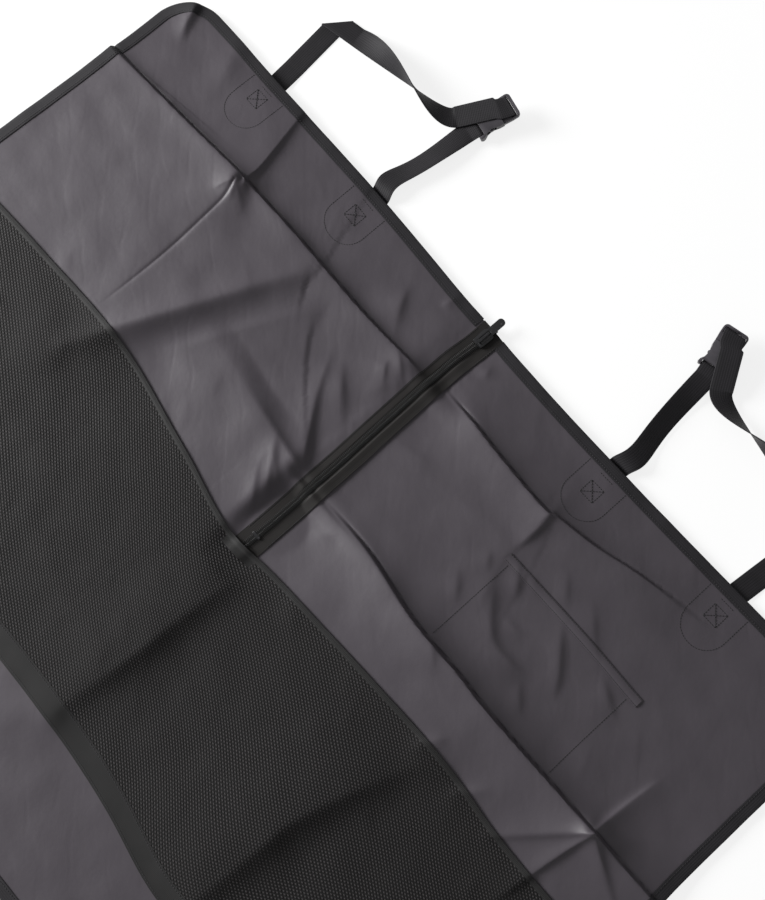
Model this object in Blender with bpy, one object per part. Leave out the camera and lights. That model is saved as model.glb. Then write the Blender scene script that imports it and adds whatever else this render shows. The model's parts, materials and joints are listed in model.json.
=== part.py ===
"""Flat protective cover lying underside up: zipped back, grip-mesh seat, pocket and two buckled strap loops.

Metres, +Z up. +X runs along the strapped edge and +Y points out of it towards the straps. The origin is
on the floor under the middle of the footprint.
"""

import math

import bmesh
import bpy
from mathutils import Matrix, Vector

# Fits
CLEARANCE = 0.0003

# Cover
COVER_WIDTH = 1.080
BACK_DEPTH = 0.350
MESH_DEPTH = 0.255
FRONT_DEPTH = 0.155
CORNER_RADIUS = 0.050
PANEL_THICKNESS = 0.0010
FOLD_GAP = 0.003
CORNER_STEPS = 8

# Edge binding, a tape folded over the edge
BINDING_WIDTH = 0.013
BINDING_THICKNESS = 0.0006

# Grip mesh and its hems
MESH_THICKNESS = 0.0010
HEM_THICKNESS = 0.0008
SEAM_HEM_WIDTH = 0.014
FRONT_HEM_WIDTH = 0.024

# Zip
ZIP_TAPE_WIDTH = 0.0155
ZIP_TAPE_THICKNESS = 0.0006
ZIP_CENTRE_GAP = 0.0018
ZIP_PANEL_GAP = 0.0160
ZIP_END_MARGIN = 0.010
COIL_WIDTH = 0.0042
COIL_HEIGHT = 0.0022
COIL_ROUNDING = 0.0008
STOP_LENGTH = 0.003
SLIDER_INSET = 0.018
SLIDER_LENGTH = 0.020
SLIDER_WIDTH = 0.0144
SLIDER_TAIL_WIDTH = 0.0126
SLIDER_TOP_PLATE = 0.0012
SLIDER_BOTTOM_PLATE = 0.0009
SLIDER_WEB = 0.0010
SLIDER_WEB_LENGTH = 0.0060
BAIL_WIDTH = 0.0030
BAIL_THICKNESS = 0.0012
BAIL_SPAN = 0.0160
BAIL_INSIDE_HEIGHT = 0.0026
PULLER_WIDTH = 0.0090
PULLER_LENGTH = 0.035
PULLER_THICKNESS = 0.0016
PULLER_WINDOW = 0.0046
PULLER_RAIL_LENGTH = 0.0145
PULLER_BEVEL = 0.0003

# Straps and their reinforcing patches
STRAP_WIDTH = 0.025
STRAP_THICKNESS = 0.0012
STRAP_INNER_X = 0.198
STRAP_OUTER_X = 0.376
STRAP_TAIL = 0.056
PATCH_WIDTH = 0.056
PATCH_DEPTH = 0.062
PATCH_RADIUS = 0.016
PATCH_SKIN = 0.0006

# How the straps lie past the strapped edge, from the zip line and the edge
ROOT_REACH = 0.002
INNER_BOW = 0.006
INNER_BOW_PEAK = 0.18
INNER_ARCH = 0.007
INNER_ARCH_PEAK = 0.085
INNER_ROLL = math.radians(22)
BUCKLE_RUN_IN = 0.008
FOLD_X = 0.388
FOLD_Y = 0.1125
FOLD_LEAD = 0.030
LEG_X = 0.317
LEG_Y = 0.1255
LEG_LEAD = 0.060
TWIST_EARLY = 1.3
RUN_TURN = math.radians(20)
RUN_LENGTH = 0.0625
RUN_LEAD = 0.027
RUN_END = 0.0140
STRAP_RETURN = 0.008

# Side-release buckle, along its own axis from the strap end of the socket
BUCKLE_X = 0.1866
BUCKLE_Y = 0.1407
BUCKLE_LIFT = 0.0015
BUCKLE_TURN = math.radians(13.12)
BUCKLE_PITCH = math.radians(14)
SOCKET_LENGTH = 0.031
SOCKET_HEIGHT = 0.0090
SOCKET_WALL = 0.0015
SOCKET_FLARE = 0.0335
SOCKET_WAIST = 0.0248
SOCKET_MOUTH = 0.0285
SOCKET_BAR = 0.0032
SOCKET_BAR_HEIGHT = 0.0044
STRAP_SLOT = 0.0030
STRAP_SLOT_WIDTH = 0.0260
WINDOW_START = 0.0095
WINDOW_LENGTH = 0.0120
PLUG_LENGTH = 0.0207
PLUG_WIDTH = 0.0300
PLUG_HEIGHT = 0.0046
PLUG_CORNER = 0.0045
LADDER_SLOT = 0.0025
LADDER_BAR = 0.0020
LADDER_END_BAR = 0.0035
TONGUE_WIDTH = 0.0060
TONGUE_LENGTH = 0.0190
TONGUE_HEIGHT = 0.0018
PRONG_LENGTH = 0.0190
PRONG_WIDTH = 0.0024
PRONG_HEIGHT = 0.0036
PRONG_OFFSET = 0.0098
BARB_LENGTH = 0.0055
BARB_REACH = 0.0026

# Pocket on the hidden side of the right half, and the stitched band over its mouth
POCKET_X = 0.195
POCKET_WIDTH = 0.183
POCKET_DEPTH = 0.120
POCKET_INSET = 0.148
POCKET_THICKNESS = 0.0006
POCKET_RADIUS = 0.008
BAND_WIDTH = 0.010
BAND_OVERRUN = 0.005

# Heights over the middle of the panel cloth
PANEL_TOP = PANEL_THICKNESS / 2
SEWN_TOP = PANEL_TOP + CLEARANCE
LIP_HEIGHT = SEWN_TOP + BINDING_THICKNESS
STRAP_TOP = -LIP_HEIGHT - CLEARANCE
STRAP_MIDDLE = STRAP_TOP - STRAP_THICKNESS / 2
PATCH_TOP = -SEWN_TOP
PATCH_BOTTOM = STRAP_TOP - STRAP_THICKNESS - CLEARANCE - PATCH_SKIN
TAPE_TOP = SEWN_TOP + ZIP_TAPE_THICKNESS
COIL_BASE = TAPE_TOP + CLEARANCE
COIL_TOP = COIL_BASE + COIL_HEIGHT

# Outline lines over the fold seam
HALF_WIDTH = COVER_WIDTH / 2
SEAT_DEPTH = MESH_DEPTH + FRONT_DEPTH
PANEL_INSET = BINDING_THICKNESS + CLEARANCE
PATCH_EDGE = BACK_DEPTH - BINDING_WIDTH - CLEARANCE
PATCH_END = PATCH_EDGE - PATCH_DEPTH
ZIP_HALF_WIDTH = ZIP_CENTRE_GAP / 2 + ZIP_TAPE_WIDTH
ZIP_START = ZIP_END_MARGIN
ZIP_END = BACK_DEPTH - PANEL_INSET

# The patches under the strapped edge lift the back of the cover a little off the floor
BACK_TILT = math.asin((-PATCH_BOTTOM - LIP_HEIGHT) / PATCH_END)


def finish(name, colour, roughness, metallic=0.0):
    """A Principled finish for one piece, in linear colour."""
    look = bpy.data.materials.new(name)
    look.use_nodes = True
    shader = look.node_tree.nodes["Principled BSDF"]
    shader.inputs["Base Color"].default_value = (*colour, 1.0)
    shader.inputs["Roughness"].default_value = roughness
    shader.inputs["Metallic"].default_value = metallic
    return look


def axis(name, parent=None, location=(0, 0, 0), rotation=(0, 0, 0)):
    """An empty that carries pieces, on a joint's axis or at a piece's own origin."""
    empty = bpy.data.objects.new(name, None)
    empty.empty_display_size = 0.02
    empty.parent = parent
    empty.location = location
    empty.rotation_euler = rotation
    bpy.context.collection.objects.link(empty)
    return empty


def add(name, shape, look, parent, location=(0, 0, 0)):
    """A named object from a bmesh, with its faces turned outwards."""
    bmesh.ops.recalc_face_normals(shape, faces=shape.faces)
    mesh = bpy.data.meshes.new(name)
    shape.to_mesh(mesh)
    shape.free()
    mesh.materials.append(look)
    piece = bpy.data.objects.new(name, mesh)
    piece.parent = parent
    piece.location = location
    bpy.context.collection.objects.link(piece)
    return piece


def carve(piece, shape, operation="DIFFERENCE"):
    """Cut a bmesh out of a piece, or join it on, with a Boolean that stays on the piece."""
    tool = add(f"{piece.name}_tool", shape, piece.data.materials[0], piece.parent, piece.location)
    tool.hide_render = True
    tool.display_type = "WIRE"
    step = piece.modifiers.new(operation.title(), "BOOLEAN")
    step.operation = operation
    step.object = tool
    return piece


def slab(outline, low, high):
    """A flat outline in X and Y, pulled up from one height to another."""
    shape = bmesh.new()
    base = shape.faces.new([shape.verts.new((x, y, low)) for x, y in outline])
    pulled = bmesh.ops.extrude_face_region(shape, geom=[base])["geom"]
    tops = [part for part in pulled if isinstance(part, bmesh.types.BMVert)]
    bmesh.ops.translate(shape, verts=tops, vec=(0, 0, high - low))
    return shape


def box(x, y, z):
    """A block from its three ranges."""
    return slab([(x[0], y[0]), (x[1], y[0]), (x[1], y[1]), (x[0], y[1])], z[0], z[1])


def loft(rings):
    """Skin between rings of equal point count, with a face closing each end."""
    shape = bmesh.new()
    loops = [[shape.verts.new(point) for point in ring] for ring in rings]
    count = len(loops[0])
    for near, far in zip(loops, loops[1:]):
        for i in range(count):
            j = (i + 1) % count
            shape.faces.new((near[i], near[j], far[j], far[i]))
    shape.faces.new(loops[0])
    shape.faces.new(loops[-1][::-1])
    return shape


def rounded(corners, steps=CORNER_STEPS):
    """An outline from (x, y, radius) corners, with each corner of some radius made an arc."""
    outline = []
    for i, (x, y, radius) in enumerate(corners):
        here = Vector((x, y))
        before = (Vector(corners[i - 1][:2]) - here).normalized()
        after = (Vector(corners[(i + 1) % len(corners)][:2]) - here).normalized()
        if not radius:
            outline.append(here)
            continue
        half = before.angle(after) / 2
        centre = here + (before + after).normalized() * radius / math.sin(half)
        start = here + before * radius / math.tan(half) - centre
        sweep = start.angle_signed(here + after * radius / math.tan(half) - centre)
        for k in range(steps + 1):
            outline.append(centre + Matrix.Rotation(-sweep * k / steps, 2) @ start)
    return [tuple(point) for point in outline]


def edge_path(corners):
    """An open run of edge points with arcs at its corners, and the inward normal at each point."""
    points = [Vector(point) for point in rounded(corners)]
    path = []
    for i, point in enumerate(points):
        along = points[min(i + 1, len(points) - 1)] - points[max(i - 1, 0)]
        along.normalize()
        path.append((point, Vector((-along.y, along.x))))
    return path


def binding(corners):
    """A tape folded over an edge: a U profile carried along the edge, open towards the cloth."""
    inner = BINDING_THICKNESS
    profile = [
        (0, -LIP_HEIGHT), (BINDING_WIDTH, -LIP_HEIGHT), (BINDING_WIDTH, -SEWN_TOP), (inner, -SEWN_TOP),
        (inner, SEWN_TOP), (BINDING_WIDTH, SEWN_TOP), (BINDING_WIDTH, LIP_HEIGHT), (0, LIP_HEIGHT),
    ]
    rings = []
    for point, inward in edge_path(corners):
        rings.append([(*(point + inward * depth), height) for depth, height in profile])
    return loft(rings)


def ribbon(sections):
    """Webbing laid along sections of (middle, across vector to one edge), thickened to both sides."""
    rings = []
    for i, (middle, across) in enumerate(sections):
        along = sections[min(i + 1, len(sections) - 1)][0] - sections[max(i - 1, 0)][0]
        lift = along.cross(across).normalized() * STRAP_THICKNESS / 2
        rings.append([middle - across + lift, middle + across + lift,
                      middle + across - lift, middle - across - lift])
    return loft(rings)


for leftover in list(bpy.data.objects):
    bpy.data.objects.remove(leftover, do_unlink=True)

cloth = finish("woven_polyester", (0.085, 0.075, 0.086), 0.75)
dark_cloth = finish("lining_polyester", (0.045, 0.042, 0.046), 0.8)
knit = finish("rubberised_knit", (0.022, 0.021, 0.021), 0.9)
tape = finish("polyester_tape", (0.016, 0.016, 0.016), 0.8)
webbing = finish("woven_webbing", (0.030, 0.028, 0.032), 0.75)
nylon = finish("moulded_nylon", (0.10, 0.092, 0.104), 0.45)
coil_nylon = finish("coil_nylon", (0.02, 0.02, 0.02), 0.5)
enamel = finish("enamelled_zinc", (0.03, 0.029, 0.03), 0.35, 0.6)

cover = axis("cover")
seat = axis("fold_seam", cover, (0, 0, LIP_HEIGHT))
back = axis("back_fold_axis", seat, rotation=(BACK_TILT, 0, 0))

# Back of the cover: two cloth halves either side of the zip
panel_edge = HALF_WIDTH - PANEL_INSET
panel_far = BACK_DEPTH - PANEL_INSET
panel_radius = CORNER_RADIUS - PANEL_INSET
for side, name in ((-1, "left"), (1, "right")):
    half = rounded([
        (side * ZIP_PANEL_GAP / 2, FOLD_GAP, 0), (side * panel_edge, FOLD_GAP, 0),
        (side * panel_edge, panel_far, panel_radius), (side * ZIP_PANEL_GAP / 2, panel_far, 0),
    ])
    add(f"back_panel_{name}", slab(half, -PANEL_TOP, PANEL_TOP), cloth, back)
    run = [(-HALF_WIDTH, FOLD_GAP, 0), (-HALF_WIDTH, BACK_DEPTH, CORNER_RADIUS),
           (-ZIP_HALF_WIDTH - CLEARANCE, BACK_DEPTH, 0)]
    hem = binding(run[::-1])
    if side > 0:
        bmesh.ops.scale(hem, vec=(-1, 1, 1), verts=hem.verts)
    add(f"binding_back_{name}", hem, tape, back)

# Seat and front of the cover, with the binding round three sides
front_line = -MESH_DEPTH - FRONT_HEM_WIDTH / 2
seat_panel = box((-panel_edge, panel_edge), (front_line + CLEARANCE / 2, -FOLD_GAP), (-PANEL_TOP, PANEL_TOP))
add("seat_panel", seat_panel, cloth, seat)
front = rounded([
    (-panel_edge, front_line - CLEARANCE / 2, 0), (-panel_edge, PANEL_INSET - SEAT_DEPTH, panel_radius),
    (panel_edge, PANEL_INSET - SEAT_DEPTH, panel_radius), (panel_edge, front_line - CLEARANCE / 2, 0),
])
add("front_panel", slab(front, -PANEL_TOP, PANEL_TOP), cloth, seat)
add("binding_seat", binding([
    (-HALF_WIDTH, -FOLD_GAP, 0), (-HALF_WIDTH, -SEAT_DEPTH, CORNER_RADIUS),
    (HALF_WIDTH, -SEAT_DEPTH, CORNER_RADIUS), (HALF_WIDTH, -FOLD_GAP, 0),
]), tape, seat)

# Grip mesh between its two hems, all sewn on top of the cloth and inside the binding
sewn_edge = HALF_WIDTH - BINDING_WIDTH - CLEARANCE
sewn_across = (-sewn_edge, sewn_edge)
hem_high = SEWN_TOP + HEM_THICKNESS
seam_hem_half = SEAM_HEM_WIDTH / 2
add("mesh_seam_hem", box(sewn_across, (-seam_hem_half, seam_hem_half), (SEWN_TOP, hem_high)), tape, seat)
add("grip_mesh", box(sewn_across, (-MESH_DEPTH, -seam_hem_half - CLEARANCE),
                     (SEWN_TOP, SEWN_TOP + MESH_THICKNESS)), knit, seat)
add("mesh_front_hem", box(sewn_across, (-MESH_DEPTH - FRONT_HEM_WIDTH, -MESH_DEPTH - CLEARANCE),
                          (SEWN_TOP, hem_high)), tape, seat)

# Zip: tapes over the panel edges, a coil on each, and the stops at both ends
coil_start = ZIP_START + STOP_LENGTH + CLEARANCE
coil_end = ZIP_END - STOP_LENGTH - CLEARANCE
coil_inner = ZIP_CENTRE_GAP / 2
coil_outer = coil_inner + COIL_WIDTH
for side, name in ((-1, "left"), (1, "right")):
    across = sorted((side * coil_inner, side * ZIP_HALF_WIDTH))
    strip = box(across, (ZIP_START, ZIP_END), (SEWN_TOP, TAPE_TOP))
    add(f"zip_tape_{name}", strip, tape, back)
    profile = [
        (coil_inner, COIL_BASE), (coil_outer, COIL_BASE), (coil_outer, COIL_TOP - COIL_ROUNDING),
        (coil_outer - COIL_ROUNDING, COIL_TOP), (coil_inner + COIL_ROUNDING, COIL_TOP),
        (coil_inner, COIL_TOP - COIL_ROUNDING),
    ]
    rings = [[(side * x, y, z) for x, z in profile] for y in (coil_start, coil_end)]
    add(f"zip_coil_{name}", loft(rings), coil_nylon, back)
    across = sorted((side * coil_inner, side * coil_outer))
    stop = box(across, (coil_end + CLEARANCE, ZIP_END), (COIL_BASE, COIL_TOP))
    add(f"zip_top_stop_{name}", stop, enamel, back)
add("zip_bottom_stop", box((-coil_outer, coil_outer), (ZIP_START, ZIP_START + STOP_LENGTH),
                           (COIL_BASE, COIL_TOP)), enamel, back)

# Slider: two plates joined by a web between the coils, with side flanges and a bail on top
slider_axis = axis("zip_slide_axis", back, (0, BACK_DEPTH - SLIDER_INSET, 0))
plate_low = SEWN_TOP - CLEARANCE
channel_top = COIL_TOP + CLEARANCE
slider_top = channel_top + SLIDER_TOP_PLATE
nose, tail = SLIDER_LENGTH / 2, -SLIDER_LENGTH / 2
shoulder, narrow = SLIDER_WIDTH / 2, SLIDER_TAIL_WIDTH / 2
flange_inner = coil_outer + CLEARANCE
body = rounded([
    (-shoulder, nose, shoulder / 2), (-narrow, tail, narrow / 4),
    (narrow, tail, narrow / 4), (shoulder, nose, shoulder / 2),
], 3)
slider = add("zip_slider", slab(body, plate_low - SLIDER_BOTTOM_PLATE, slider_top), enamel, slider_axis)
beyond = SLIDER_LENGTH
for side in (-1, 1):
    lane = sorted((side * SLIDER_WEB / 2, side * flange_inner))
    carve(slider, box(lane, (-beyond, beyond), (plate_low, channel_top)))
    slot = sorted((side * coil_inner, side * SLIDER_WIDTH))
    carve(slider, box(slot, (-beyond, beyond), (plate_low, COIL_BASE)))
carve(slider, box((-SLIDER_WEB, SLIDER_WEB), (-beyond, nose - SLIDER_WEB_LENGTH), (plate_low, channel_top)))
bail_foot, bail_low = BAIL_SPAN / 2, slider_top - SLIDER_TOP_PLATE / 2
bail_high = slider_top + BAIL_INSIDE_HEIGHT
arch = [(-bail_foot, bail_low), (-bail_foot, bail_high + BAIL_THICKNESS),
        (bail_foot, bail_high + BAIL_THICKNESS), (bail_foot, bail_low),
        (bail_foot - BAIL_THICKNESS, bail_low), (bail_foot - BAIL_THICKNESS, bail_high),
        (BAIL_THICKNESS - bail_foot, bail_high), (BAIL_THICKNESS - bail_foot, bail_low)]
carve(slider, loft([[(x, y, z) for y, z in arch] for x in (-BAIL_WIDTH / 2, BAIL_WIDTH / 2)]), "UNION")

# Puller: a tab whose crossbar turns under the bail
swing_y = BAIL_THICKNESS - bail_foot + PULLER_THICKNESS
swing_z = slider_top + CLEARANCE + PULLER_THICKNESS / 2
puller_axis = axis("puller_swing_axis", slider_axis, (0, swing_y, swing_z))
half_bar = PULLER_THICKNESS / 2
tab = rounded([
    (-PULLER_WIDTH / 2, -half_bar, 0), (PULLER_WIDTH / 2, -half_bar, 0),
    (PULLER_WIDTH / 2, PULLER_LENGTH, PULLER_WIDTH * 0.45),
    (-PULLER_WIDTH / 2, PULLER_LENGTH, PULLER_WIDTH * 0.45),
], 5)
puller = add("zip_puller", slab(tab, -half_bar, half_bar), enamel, puller_axis)
carve(puller, box((-PULLER_WINDOW / 2, PULLER_WINDOW / 2), (half_bar, PULLER_RAIL_LENGTH),
                  (-PULLER_THICKNESS, PULLER_THICKNESS)))
soften = puller.modifiers.new("Bevel", "BEVEL")
soften.width = PULLER_BEVEL
soften.segments = 1
soften.limit_method = "ANGLE"
soften.angle_limit = math.radians(40)

# Strap patches: U-shaped reinforcements under the cloth, each with a channel for the strap's sewn end
channel = STRAP_WIDTH / 2 + CLEARANCE
channel_low = STRAP_TOP - STRAP_THICKNESS - CLEARANCE
for name, x in (("left_outer", -STRAP_OUTER_X), ("left_inner", -STRAP_INNER_X),
                ("right_inner", STRAP_INNER_X), ("right_outer", STRAP_OUTER_X)):
    outline = rounded([
        (x - PATCH_WIDTH / 2, PATCH_EDGE, 0), (x - PATCH_WIDTH / 2, PATCH_END, PATCH_RADIUS),
        (x + PATCH_WIDTH / 2, PATCH_END, PATCH_RADIUS), (x + PATCH_WIDTH / 2, PATCH_EDGE, 0),
    ], 5)
    patch = add(f"strap_patch_{name}", slab(outline, PATCH_BOTTOM, PATCH_TOP), dark_cloth, back)
    sewn_end = BACK_DEPTH - STRAP_TAIL - CLEARANCE
    carve(patch, box((x - channel, x + channel), (sewn_end, BACK_DEPTH), (channel_low, PANEL_THICKNESS)))

# Pocket under the right half, and the raised band stitched along its mouth
pocket_far = BACK_DEPTH - POCKET_INSET
pocket_near = pocket_far - POCKET_DEPTH
pocket_end = POCKET_X + POCKET_WIDTH
bag = rounded([
    (POCKET_X, pocket_far, 0), (POCKET_X, pocket_near, POCKET_RADIUS),
    (pocket_end, pocket_near, POCKET_RADIUS), (pocket_end, pocket_far, 0),
], 4)
add("pocket_panel", slab(bag, -SEWN_TOP - POCKET_THICKNESS, -SEWN_TOP), dark_cloth, back)
add("pocket_band", box((POCKET_X - BAND_OVERRUN, pocket_end + BAND_OVERRUN),
                       (pocket_far - BAND_WIDTH / 2, pocket_far + BAND_WIDTH / 2),
                       (SEWN_TOP, hem_high)), cloth, back)

# Strap loops: each lies on the floor past the edge, and swings about the edge
edge_y = BACK_DEPTH * math.cos(BACK_TILT)
edge_z = LIP_HEIGHT + BACK_DEPTH * math.sin(BACK_TILT)
swing_height = edge_z + STRAP_MIDDLE


def under_cloth(x, y):
    """Middle of a strap under the cloth, from its distance past the edge (negative under the cover)."""
    reach = BACK_DEPTH + y
    return Vector((x, y, LIP_HEIGHT + reach * math.sin(BACK_TILT) + STRAP_MIDDLE))


def buckle_pose():
    """Where the left buckle lies: its strap end on the floor, turned in plan and pitched up."""
    turn = Matrix.Rotation(-BUCKLE_TURN, 4, "Z") @ Matrix.Rotation(BUCKLE_PITCH, 4, "X")
    return Matrix.Translation((-BUCKLE_X, BUCKLE_Y, BUCKLE_LIFT)) @ turn


def in_buckle(y, z):
    """A strap section across the left buckle at a place along it and a height over its base."""
    pose = buckle_pose()
    return pose @ Vector((0, y, z)), pose.to_3x3() @ Vector((STRAP_WIDTH / 2, 0, 0))


def across_plan(direction):
    """Half a strap's width, level and to the right of its direction in plan."""
    return Vector((direction.y, -direction.x, 0)).normalized() * STRAP_WIDTH / 2


def rolled(level, angle):
    """Half a strap's width turned up from level about the strap's own direction."""
    return level * math.cos(angle) + Vector((0, 0, level.length * math.sin(angle)))


def hump(share, peak):
    """A rise from 0 to 1 at the peak that dies away slowly after it: r times e to the 1 - r."""
    reach = share / peak
    return reach * math.exp(1 - reach)


def socket_strap():
    """Inner strap of the left loop: arched out from under the edge, rolled a little on to one edge, then
    round the socket's bar."""
    floor = STRAP_THICKNESS / 2
    ahead = Vector((0, 1, 0))
    bar_top = (SOCKET_HEIGHT + SOCKET_BAR_HEIGHT) / 2 + CLEARANCE + floor
    bar_low = (SOCKET_HEIGHT - SOCKET_BAR_HEIGHT) / 2 - CLEARANCE - floor
    down = SOCKET_BAR + STRAP_SLOT / 2
    sections = [(under_cloth(-STRAP_INNER_X, y), across_plan(ahead)) for y in (-STRAP_TAIL, ROOT_REACH)]
    root = Vector((-STRAP_INNER_X, ROOT_REACH, floor))
    entry = in_buckle(-BUCKLE_RUN_IN, bar_top)
    for share in (0.04, 0.085, 0.16, 0.26, 0.40, 0.56, 0.72, 0.87):
        middle = root.lerp(entry[0], share)
        middle.x -= INNER_BOW * hump(share, INNER_BOW_PEAK)**2
        roll = INNER_ROLL * math.sin(math.pi * share)
        lift = INNER_ARCH * hump(share, INNER_ARCH_PEAK) + STRAP_WIDTH / 2 * math.sin(roll)
        middle.z = floor + lift + (entry[0].z - floor) * share**3
        sections.append((middle, rolled(across_plan(ahead).lerp(entry[1], share**3), roll)))
    sections += [entry, in_buckle(SOCKET_BAR, bar_top), in_buckle(down, bar_top - 2 * floor),
                 in_buckle(down, bar_low + 2 * floor), in_buckle(SOCKET_BAR, bar_low),
                 in_buckle(floor, bar_low)]
    return sections


def plug_strap():
    """Outer strap of the left loop: out from under the edge, folded over flat, half twisted, then laid
    slantwise over the buckle and round the plug's middle ladder bar."""
    floor = STRAP_THICKNESS / 2
    root = Vector((-STRAP_OUTER_X, ROOT_REACH, floor))
    fold = Vector((-FOLD_X, FOLD_Y, floor))
    leg = Vector((-LEG_X, LEG_Y, floor))
    out = (fold - root).normalized()
    onward = (leg - fold).normalized()
    crease = (out + onward).normalized()
    aside = Vector((-crease.y, crease.x, 0))
    bend = floor + CLEARANCE
    crease_half = crease * STRAP_WIDTH / 2 / math.sin(crease.angle(out))
    ahead = Vector((0, 1, 0))
    sections = [(under_cloth(-STRAP_OUTER_X, y), across_plan(ahead)) for y in (-STRAP_TAIL, ROOT_REACH)]
    sections += [(root + out * STRAP_WIDTH, across_plan(out)), (fold - out * FOLD_LEAD, across_plan(out))]
    for k in range(5):
        angle = math.pi * k / 4
        over = aside * math.sin(angle) + Vector((0, 0, 1 - math.cos(angle)))
        sections.append((fold + over * bend, crease_half))
    slot = SOCKET_LENGTH + CLEARANCE + PLUG_LENGTH - LADDER_END_BAR - LADDER_SLOT / 2
    pose = buckle_pose()

    def on_run(back, turn):
        """A section some way back from the ladder slot, over the buckle and turned off its axis."""
        ahead = Vector((math.sin(turn), math.cos(turn), 0))
        start = Vector((0, slot, SOCKET_HEIGHT + 2 * CLEARANCE + floor)) - ahead * back
        return pose @ start, pose.to_3x3() @ across_plan(ahead)

    landing, landing_half = on_run(RUN_LENGTH, RUN_TURN)
    run = Vector((-landing_half.y, landing_half.x, 0)).normalized()
    low = fold + onward * FOLD_LEAD + Vector((0, 0, 2 * bend))
    guides = low, low + onward * LEG_LEAD, landing - run * RUN_LEAD, landing
    for k in range(11):
        share = k / 11
        rest = 1 - share
        turn = math.pi * (1 - rest**TWIST_EARLY)
        weights = rest**3, 3 * rest**2 * share, 3 * rest * share**2, share**3
        middle = sum((guide * weight for guide, weight in zip(guides, weights)), Vector())
        middle.z = STRAP_WIDTH / 2 * math.sin(turn) + low.z * rest + landing.z * share**3
        course = [after - before for before, after in zip(guides, guides[1:])]
        heading = course[0] * rest**2 + course[1] * 2 * rest * share + course[2] * share**2
        sections.append((middle, rolled(-across_plan(heading), turn)))
    over = (SOCKET_HEIGHT + PLUG_HEIGHT) / 2 + CLEARANCE + floor
    under = (SOCKET_HEIGHT - PLUG_HEIGHT) / 2 - CLEARANCE - floor
    sections += [on_run(RUN_LENGTH * share, RUN_TURN) for share in (1, 0.62, 0.28)]
    sections += [on_run(RUN_END, RUN_TURN / 2),
                 in_buckle(slot - LADDER_END_BAR, over + CLEARANCE), in_buckle(slot - floor, over),
                 in_buckle(slot + CLEARANCE, over - 2 * floor),
                 in_buckle(slot + CLEARANCE, under + 2 * floor),
                 in_buckle(slot - floor, under), in_buckle(slot - STRAP_RETURN, under)]
    return sections


def socket_outline():
    """Flared at the strap end, drawn in at the thumb windows and widening a little to the mouth."""
    sides = [(SOCKET_FLARE * 0.46, 0), (SOCKET_FLARE / 2, 0.0025), (SOCKET_FLARE * 0.48, 0.0055),
             (SOCKET_WAIST * 0.54, WINDOW_START), (SOCKET_WAIST / 2, WINDOW_START + WINDOW_LENGTH * 0.4),
             (SOCKET_WAIST / 2, WINDOW_START + WINDOW_LENGTH * 0.75),
             (SOCKET_MOUTH * 0.49, WINDOW_START + WINDOW_LENGTH * 1.3), (SOCKET_MOUTH / 2, SOCKET_LENGTH)]
    return sides + [(-x, y) for x, y in sides[::-1]]


def prong_outline(side):
    """A spring arm from the plug, ending in a barb that fills the socket's window."""
    root, tip = SOCKET_LENGTH, SOCKET_LENGTH - PRONG_LENGTH
    inner, outer = PRONG_OFFSET - PRONG_WIDTH / 2, PRONG_OFFSET + PRONG_WIDTH / 2
    points = [(inner, root), (inner, tip + PRONG_WIDTH / 2), (inner + PRONG_WIDTH / 2, tip), (outer, tip),
              (outer + BARB_REACH, tip + BARB_LENGTH * 0.6), (outer + BARB_REACH, tip + BARB_LENGTH),
              (outer, tip + BARB_LENGTH * 1.5), (outer, root)]
    return [(side * x, y) for x, y in points]


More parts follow.
